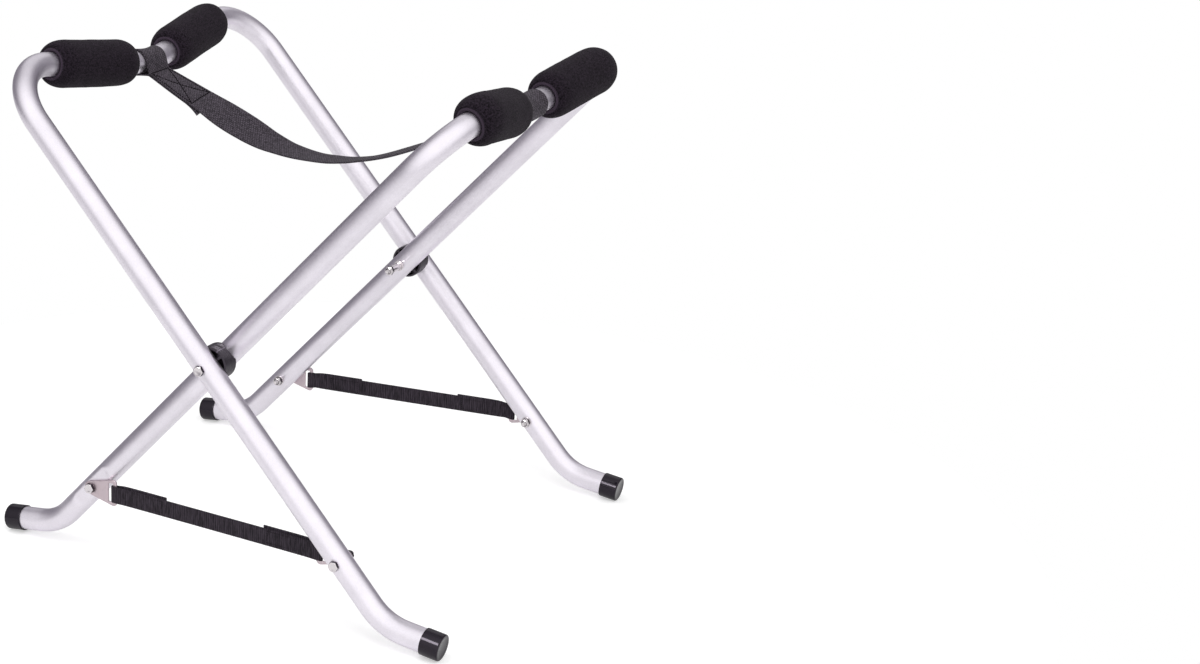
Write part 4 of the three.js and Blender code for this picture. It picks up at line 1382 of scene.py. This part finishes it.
def make_low_strap(side_name):
    """A ribbed low strap, with the stitching of its folded-back ends."""
    s = sizes()
    line = strap_line(SIDES[side_name])
    upright = np.tile([0.0, 0.0, 1.0], (len(line), 1))
    section = band_section(s.strap_width, s.strap_thickness, 7)
    rings, places = band(line, upright, section, ribs=(s.rib_pitch, 0.28))
    name = f"strap_{side_name}"
    item = shown(name, rings_mesh(name, rings, False, places, crease=60), strap_webbing())
    carried(item)
    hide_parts(f"low_strap_{side_name}")
    lines = strap_seams(SIDES[side_name], line)
    seams = sewn(f"strap_stitches_{side_name}", lines, 2.4 * MM, 0.5 * MM, 0.8, thread())
    carried(seams)


def strap_seams(side, line):
    """Lines of a sewn box at each end of a low strap, on both of its faces."""
    s = sizes()
    half = s.strap_width / 2 - 3.2 * MM
    lift = s.strap_thickness + LAYER_GAP
    free, ahead = line[len(line) // 2], line[len(line) // 2 + 200]
    slope = (ahead[1] - free[1]) / (ahead[0] - free[0])
    z = free[2] + s.strap_lift / 4
    lines = []
    for toward in (-1, 1):
        inner, outer = (toward * place for place in SEWN_BOX)
        corners = [(inner, -half), (inner, half), (outer, half), (outer, -half), (inner, -half)]
        for ends in zip(corners, corners[1:]):
            for face in (lift / 2, -1.5 * lift):
                points = [(x, free[1] + slope * (x - free[0]) + side * face, z + up) for x, up in ends]
                lines.append(spaced(np.array(points), 2 * MM))
    return lines


# How far the sling leans over its own line: places along X in mm and angles there in degrees.
SLING_TWIST = (
    (-205, 2), (-170, 11), (-150, 15.2), (-140, 19.9), (-125, 26.5), (-111, 28.5), (-96, 27),
    (-85, 24), (-75, 19), (-60, 12.6), (-50, 7.7), (-10, -0.7), (9, -0.4), (28, -2.7), (38, -2.4),
    (50, -3.2), (66, -0.7), (85, 2.0), (103, 2.8), (150, 1.2), (190, 0),
)
# How far the sling lies off its even curve: places along X and heights there, both in mm.
SLING_RISE = (
    (-205, 0), (-150, 1.2), (-120, 0.4), (-95, 0), (-70, -1.3), (-45, -1.0), (-20, 0), (5, 0.8),
    (60, 0.9), (103, 1.4), (150, 0.8), (178, 0),
)


def read_off(pairs, x):
    """The value that pairs of (mm along X, value) have at x."""
    return float(np.interp(x / MM, *zip(*pairs)))


def sling_height(x, ends):
    """Height of the sling's hanging curve at x, between the ends of its free length."""
    s = sizes()
    (x0, z0), (x1, z1) = ends
    middle, span = (x0 + x1) / 2, (x1 - x0) / 2
    bottom = (z0 + z1) / 2 - s.sling_sag

    def rise(d):
        return math.sqrt(1 + (d / s.sling_softness) ** 2) - 1

    end = z0 if x < middle else z1
    return bottom + (end - bottom) * rise(x - middle) / rise(span) + read_off(SLING_RISE, x) * MM


def sling_ends():
    """X and Z of both ends of the sling's free length."""
    s = sizes()
    reach = s.sling_seam * math.cos(s.bar_dip)
    bars = [(LEAN[which], bar_middle(which)) for which in ("outer", "inner")]
    return [(bar[0] - lean * reach, bar[2] - s.sling_seam / 2) for lean, bar in bars]


def sling_at(x, ends):
    """The sling's middle at x, with its width direction and the direction out of its top face."""
    step = 0.5 * MM
    slope = (sling_height(x + step, ends) - sling_height(x - step, ends)) / (2 * step)
    up = np.cross(unit(np.array([1.0, 0, slope])), ACROSS)
    twist = math.radians(read_off(SLING_TWIST, x))
    side = ACROSS * math.cos(twist) + up * math.sin(twist)
    normal = up * math.cos(twist) - ACROSS * math.sin(twist)
    return np.array([x, sling_drift(x), sling_height(x, ends)]), side, normal


def sling_drift(x):
    """How far the sling lies off the stand's middle plane at x, because it hangs a little askew."""
    return 0.0195 * x - 1.2 * MM


def sling_path():
    """Rows from one sewn end to the other: centres, width directions, and 1 where it is looped."""
    s = sizes()
    ends = sling_ends()
    step, layer = 2 * MM, s.sling_thickness + 0.15 * MM
    radius = s.tube_diameter / 2 + BAR_PLAY + s.sling_thickness / 2

    def placed(x, below=0):
        centre, side, normal = sling_at(x, ends)
        return centre - normal * below, side, 0.0

    def sewn_end(which, end_x):
        """The sewn-under tail, then round the bar and back to the seam."""
        lean, bar = LEAN[which], bar_middle(which)
        seam_x, tail_x = end_x + lean * SEAM_TUCK, end_x - lean * s.sling_tail
        tail = [placed(tail_x + lean * run, layer) for run in np.arange(0, abs(tail_x - seam_x), step)]
        angles = []
        for below, sign in ((layer, lean), (0, -lean)):
            away = placed(seam_x, below)[0] - bar
            spread = math.acos(min(1, radius / math.hypot(away[0], away[2])))
            angles.append(math.atan2(away[2], away[0]) + sign * spread)
        start, stop = angles
        turn = lean * (lean * (stop - start) % (2 * math.pi))
        beside = bar + ACROSS * sling_drift(bar[0])
        loop = [
            (beside + radius * np.array([math.cos(t), 0, math.sin(t)]), ACROSS, 1.0)
            for t in start + turn * np.linspace(0, 1, 40)
        ]
        return [*tail, placed(seam_x, layer), *loop, placed(seam_x)]

    (left, _), (right, _) = ends
    free = np.arange(left - SEAM_TUCK + step, right + SEAM_TUCK - MM, step)
    rows = sewn_end("outer", left) + [placed(x) for x in free] + sewn_end("inner", right)[::-1]
    return [np.array(column) for column in zip(*rows)]


def make_sling():
    """The sling, with the stitching of its sewn-under ends."""
    s = sizes()
    centres, sides, looped = sling_path()
    run = distances(centres)
    even = np.linspace(0, run[-1], round(run[-1] / MM) + 1)
    line = along(centres, even)
    widths = np.stack([np.interp(even, run, sides[:, k]) for k in range(3)], axis=1)
    loops = np.interp(even, run, looped)
    for rows, rounds in ((line, 3), (widths, 40)):
        for _ in range(rounds):
            rows[1:-1] = (rows[:-2] + 2 * rows[1:-1] + rows[2:]) / 4
    section = band_section(s.sling_width, s.sling_thickness, 37)
    rings, places = band(line, widths, section)
    draw_in(rings, section, loops, line)
    follow_bars(rings, loops, line)
    droop_corner(rings, section, distances(line))
    item = shown("sling", rings_mesh("sling", rings, False, places, crease=60), sling_webbing())
    carried(item)
    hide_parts("sling_strap")
    pitch, width = s.stitch_pitch, s.stitch_width
    seams = sewn("sling_stitches", sling_thread_lines(), pitch, width, 0.95, thread())
    carried(seams)


def draw_in(rings, section, loops, line):
    """Sinks both faces of the sewn webbing along its stitching."""
    s = sizes()
    middle = rings.mean(axis=1)
    across = section[:, 0]
    flat = np.abs(section[:, 1]) > s.sling_thickness * 0.49
    for i in np.nonzero(loops < 0.5)[0]:
        near = np.full(len(section), 1.0)
        for (x0, u0), (x1, u1) in sling_seams():
            if min(x0, x1) - 3 * MM < line[i][0] < max(x0, x1) + 3 * MM:
                seam = np.array([x1 - x0, u1 - u0])
                reach = np.stack([np.full(len(across), line[i][0] - x0), across - u0], axis=1)
                share = np.clip(reach @ seam / (seam @ seam), 0, 1)
                near = np.minimum(near, np.linalg.norm(reach - np.outer(share, seam), axis=1))
        sink = s.stitch_sink * np.exp(-((near / (1.5 * MM)) ** 2)) / (s.sling_thickness / 2)
        through = rings[i] - middle[i]
        across_part = np.outer(across, rings[i][np.argmax(across)] - rings[i][np.argmin(across)])
        across_part /= across.max() - across.min()
        rings[i] -= (through - across_part) * (sink * flat)[:, None]


def follow_bars(rings, loops, line):
    """Lifts the loops' edges where each bar rises on both sides of its middle."""
    s = sizes()
    arc = s.bar_radius * math.tan(s.bar_dip / 2) * 2
    for i, share in enumerate(loops):
        which = "outer" if line[i][0] < 0 else "inner"
        y = np.abs(rings[i][:, 1])
        bent = np.minimum(y, arc) ** 2 / (2 * s.bar_radius)
        rise = bent + np.maximum(y - arc, 0) * math.tan(s.bar_dip)
        rings[i] += np.outer(rise * share, leg_direction(which))


def droop_corner(rings, section, run):
    """Lets the near corner of the sewn-under end fall away from the sling."""
    reach, fall, shift = 20 * MM, 3.2 * MM, 1.6 * MM
    width = section[:, 0].max() * 2
    for i in np.nonzero(run < reach)[0]:
        share = (1 - run[i] / reach) ** 2
        rings[i, :, 2] -= fall * share * (0.5 - section[:, 0] / width)
        rings[i, :, 1] -= shift * share


def sling_seams():
    """Lines of the sewn box and cross on each doubled end, as pairs of (x, place across)."""
    s = sizes()
    half = s.sling_width / 2 - 3 * MM
    runs = []
    for (end_x, _), toward in zip(sling_ends(), (1, -1)):
        first, last = end_x - toward * (SEAM_TUCK - MM), end_x + toward * (s.sling_tail - 10.5 * MM)
        box = [(first, -half), (first, half), (last, half), (last, -half), (first, -half)]
        runs += list(zip(box, box[1:])) + [(box[0], box[2]), (box[1], box[3])]
    return runs


def sling_thread_lines():
    """The thread's lines along the sewn boxes, on both faces."""
    s = sizes()
    ends = sling_ends()
    lines = []
    for (x0, u0), (x1, u1) in sling_seams():
        steps = max(2, round(math.hypot(x1 - x0, u1 - u0) / (2 * MM)))
        for face in (s.sling_thickness / 2 - s.stitch_sink, s.stitch_sink - s.sling_thickness * 1.6):
            points = []
            for t in np.linspace(0, 1, steps + 1):
                centre, side, normal = sling_at(x0 + (x1 - x0) * t, ends)
                points.append(centre + side * (u0 + (u1 - u0) * t) + normal * face)
            lines.append(np.array(points))
    return lines


# Stage


CAMERA_PLACE = (1.037086, -1.897870, 0.947097)
CAMERA_AZIMUTH = math.radians(28.5438)
CAMERA_ELEVATION = math.radians(18.5197)
CAMERA_ROLL = math.radians(-1.5173)
CAMERA_LENS = 62.267
CAMERA_SHIFT = 0.23
LIT_SIDE = (0.441, -0.678, 0.588)
LIT_BACK = (-0.299, 0.641, 0.707)
WORLD_LIGHT = 0.64
FLOOR_REACH = 0.8


def make_camera():
    a, e, r = CAMERA_AZIMUTH, CAMERA_ELEVATION, CAMERA_ROLL
    ahead = Vector((-math.sin(a) * math.cos(e), math.cos(a) * math.cos(e), -math.sin(e)))
    level = Vector((math.cos(a), math.sin(a), 0))
    down = ahead.cross(level)
    right = level * math.cos(r) + down * math.sin(r)
    down = ahead.cross(right)
    data = bpy.data.cameras.new("camera")
    data.lens = CAMERA_LENS
    data.shift_x = CAMERA_SHIFT
    camera = bpy.data.objects.new("camera", data)
    bpy.context.scene.collection.objects.link(camera)
    turn = Matrix((right, -down, -ahead)).transposed().to_4x4()
    camera.matrix_world = Matrix.Translation(CAMERA_PLACE) @ turn
    bpy.context.scene.camera = camera


def seen_ray(tree, path):
    """1 for rays from the camera, direct or through glass, and 0 for others."""
    return maths(tree, "MAXIMUM", path["Is Camera Ray"], path["Is Transmission Ray"])


def make_world():
    """White to the camera, even light to the stand, and to metal a room lit from one side."""
    world = bpy.data.worlds.new("studio")
    bpy.context.scene.world = world
    world.use_nodes = True
    tree = world.node_tree
    path = node(tree, "ShaderNodeLightPath").outputs
    way = node(tree, "ShaderNodeTexCoord").outputs["Generated"]

    def lit_from(direction, low, high, most):
        facing_it = vector_maths(tree, "DOT_PRODUCT", way, direction)["Value"]
        return mapped(tree, facing_it, low, high, 0, most, "SMOOTHSTEP")

    def background(tone, strength):
        return node(tree, "ShaderNodeBackground", {"Color": tone, "Strength": strength}).outputs[0]

    def either(factor, first, second):
        return node(tree, "ShaderNodeMixShader", {0: factor, 1: first, 2: second}).outputs[0]

    side, back = lit_from(LIT_SIDE, -0.2, 0.88, 1), lit_from(LIT_BACK, 0.84, 0.95, 0.5)
    below = mapped(tree, parts_of(tree, way)["Z"], -0.08, -0.35, 0, 0.6)
    lit = maths(tree, "MAXIMUM", maths(tree, "MAXIMUM", side, back), below)
    room = background(mixed(tree, lit, (0.2, 0.186, 0.216), (1.24, 1.24, 1.24)), 1)
    plain = (1, 1, 1, 1)
    light = either(path["Is Glossy Ray"], background(plain, WORLD_LIGHT), room)
    shown_light = either(seen_ray(tree, path), light, background(plain, 1))
    give(tree, tree.nodes["World Output"], {"Surface": shown_light})


def make_floor():
    """A round floor that looks white to the camera and still takes shadows."""
    mesh = bpy.data.meshes.new("floor")
    corners = [(math.cos(t) * FLOOR_REACH, math.sin(t) * FLOOR_REACH, -0.2 * MM) for t in spoke_angles()]
    mesh.from_pydata(corners, [], [tuple(range(SPOKES))])
    material = bpy.data.materials.new("floor")
    material.use_nodes = True
    tree = material.node_tree
    matte = tree.nodes["Principled BSDF"]
    base = (*colours().floor, 1)
    give(tree, matte, {"Base Color": base, "Roughness": 0.9, "Specular IOR Level": 0})
    path = node(tree, "ShaderNodeLightPath").outputs
    seen = maths(tree, "MULTIPLY", seen_ray(tree, path), 0.45)
    glossy = maths(tree, "MULTIPLY", path["Is Glossy Ray"], 0.2)
    glow = node(tree, "ShaderNodeEmission", {"Strength": maths(tree, "ADD", seen, glossy)})
    both = node(tree, "ShaderNodeAddShader", {0: matte.outputs[0], 1: glow.outputs[0]}).outputs[0]
    give(tree, tree.nodes["Material Output"], {"Surface": both})
    shown("floor", mesh, material)


def glossy_pieces():
    """The caps, saddles and steel pieces, in which one lamp is mirrored that nothing else shows."""
    found = bpy.data.collections.get("glossy_pieces")
    return found or bpy.data.collections.new("glossy_pieces")


def make_lamp(name, place, target, size, power, mirrored):
    """A soft lamp. It lights matte surfaces, or is only mirrored in glossy ones."""
    data = bpy.data.lights.new(name, "AREA")
    data.shape = "RECTANGLE"
    data.size, data.size_y = size
    data.energy = power
    lamp = bpy.data.objects.new(name, data)
    lamp.visible_glossy = mirrored
    lamp.visible_diffuse = not mirrored
    if mirrored:
        lamp.light_linking.receiver_collection = glossy_pieces()
    bpy.context.scene.collection.objects.link(lamp)
    aim = (Vector(target) - Vector(place)).to_track_quat("-Z", "Y")
    lamp.matrix_world = Matrix.Translation(place) @ aim.to_matrix().to_4x4()


# Operators


class StandOperator:
    """What all of the stand's operators share."""

    bl_options = {"REGISTER", "UNDO"}

    def execute(self, context):
        self.build()
        return {"FINISHED"}


class KAYAKSTAND_OT_stage(StandOperator, bpy.types.Operator):
    """Set up the floor, the studio light and the camera"""

    bl_idname = "kayak_stand.stage"
    bl_label = "Stage"

    def build(self):
        bpy.context.scene.view_settings.view_transform = "Standard"
        make_camera()
        make_world()
        make_floor()
        make_lamp("key", (1.95, -1.35, 2.1), (0, 0, 0.25), (2.6, 2.6), 22, False)
        make_lamp("top", (-0.3, -0.6, 2.0), (0, 0, 0.25), (1.6, 0.8), 9, False)
        make_lamp("streak", (-0.5, -2.0, 1.9), (0, 0, 0.1), (1.3, 0.8), 38, True)


class KAYAKSTAND_OT_tubes(StandOperator, bpy.types.Operator):
    """Sweep the two bent frame tubes and press their flats"""

    bl_idname = "kayak_stand.tubes"
    bl_label = "Frame tubes"

    def build(self):
        for which in LEAN:
            make_tube(which)


class KAYAKSTAND_OT_caps(StandOperator, bpy.types.Operator):
    """Turn the four foot caps"""

    bl_idname = "kayak_stand.caps"
    bl_label = "Foot caps"

    def build(self):
        for corner in CORNERS:
            make_cap(*corner)


class KAYAKSTAND_OT_sleeves(StandOperator, bpy.types.Operator):
    """Form the four foam sleeves over the bars"""

    bl_idname = "kayak_stand.sleeves"
    bl_label = "Foam sleeves"

    def build(self):
        for corner in CORNERS:
            make_sleeve(*corner)


class KAYAKSTAND_OT_saddles(StandOperator, bpy.types.Operator):
    """Mould the pivot saddles between the crossing legs"""

    bl_idname = "kayak_stand.saddles"
    bl_label = "Pivot saddles"

    def build(self):
        for corner in CORNERS:
            make_saddle(*corner)


class KAYAKSTAND_OT_brackets(StandOperator, bpy.types.Operator):
    """Cut the four strap brackets"""

    bl_idname = "kayak_stand.brackets"
    bl_label = "Strap brackets"

    def build(self):
        for corner in CORNERS:
            make_bracket(*corner)


class KAYAKSTAND_OT_hardware(StandOperator, bpy.types.Operator):
    """Fit the bolts, washers, bushes and nuts of the pivots and brackets"""

    bl_idname = "kayak_stand.hardware"
    bl_label = "Bolts and nuts"

    def build(self):
        tips = {which: [] for which in LEAN}
        for side_name in SIDES:
            tips["outer"].append(make_pivot_hardware(side_name))
            for which in LEAN:
                tips[which].append(make_bracket_hardware(which, side_name))
        for which in LEAN:
            make_threads(which, tips[which])


class KAYAKSTAND_OT_low_straps(StandOperator, bpy.types.Operator):
    """Lay the two ribbed low straps with their sewn ends"""

    bl_idname = "kayak_stand.low_straps"
    bl_label = "Low straps"

    def build(self):
        for side_name in SIDES:
            make_low_strap(side_name)


class KAYAKSTAND_OT_sling(StandOperator, bpy.types.Operator):
    """Hang the webbing sling from its sewn loops"""

    bl_idname = "kayak_stand.sling"
    bl_label = "Sling"

    def build(self):
        make_sling()


class KAYAKSTAND_PT_panel(bpy.types.Panel):
    """Lists the stand's pieces, sizes and colours"""

    bl_idname = "KAYAKSTAND_PT_panel"
    bl_label = "Kayak Stand"
    bl_space_type = "VIEW_3D"
    bl_region_type = "UI"
    bl_category = "Kayak Stand"

    def draw(self, context):
        for operator in OPERATORS:
            self.layout.operator(operator.bl_idname)
        for group in (context.scene.kayak_stand_sizes, context.scene.kayak_stand_colours):
            box = self.layout.box()
            for name in group.__annotations__:
                box.prop(group, name)


OPERATORS = (
    KAYAKSTAND_OT_stage,
    KAYAKSTAND_OT_tubes,
    KAYAKSTAND_OT_caps,
    KAYAKSTAND_OT_sleeves,
    KAYAKSTAND_OT_saddles,
    KAYAKSTAND_OT_brackets,
    KAYAKSTAND_OT_hardware,
    KAYAKSTAND_OT_low_straps,
    KAYAKSTAND_OT_sling,
)
CLASSES = (StandSizes, StandColours, *OPERATORS, KAYAKSTAND_PT_panel)


def register():
    for item in CLASSES:
        bpy.utils.register_class(item)
    bpy.types.Scene.kayak_stand_sizes = bpy.props.PointerProperty(type=StandSizes)
    bpy.types.Scene.kayak_stand_colours = bpy.props.PointerProperty(type=StandColours)


def unregister():
    del bpy.types.Scene.kayak_stand_colours
    del bpy.types.Scene.kayak_stand_sizes
    for item in reversed(CLASSES):
        bpy.utils.unregister_class(item)


def main():
    register()
    bpy.ops.kayak_stand.stage()
    bpy.ops.kayak_stand.tubes()
    bpy.ops.kayak_stand.caps()
    bpy.ops.kayak_stand.sleeves()
    bpy.ops.kayak_stand.saddles()
    bpy.ops.kayak_stand.brackets()
    bpy.ops.kayak_stand.hardware()
    bpy.ops.kayak_stand.low_straps()
    bpy.ops.kayak_stand.sling()


if __name__ == "__main__":
    main()
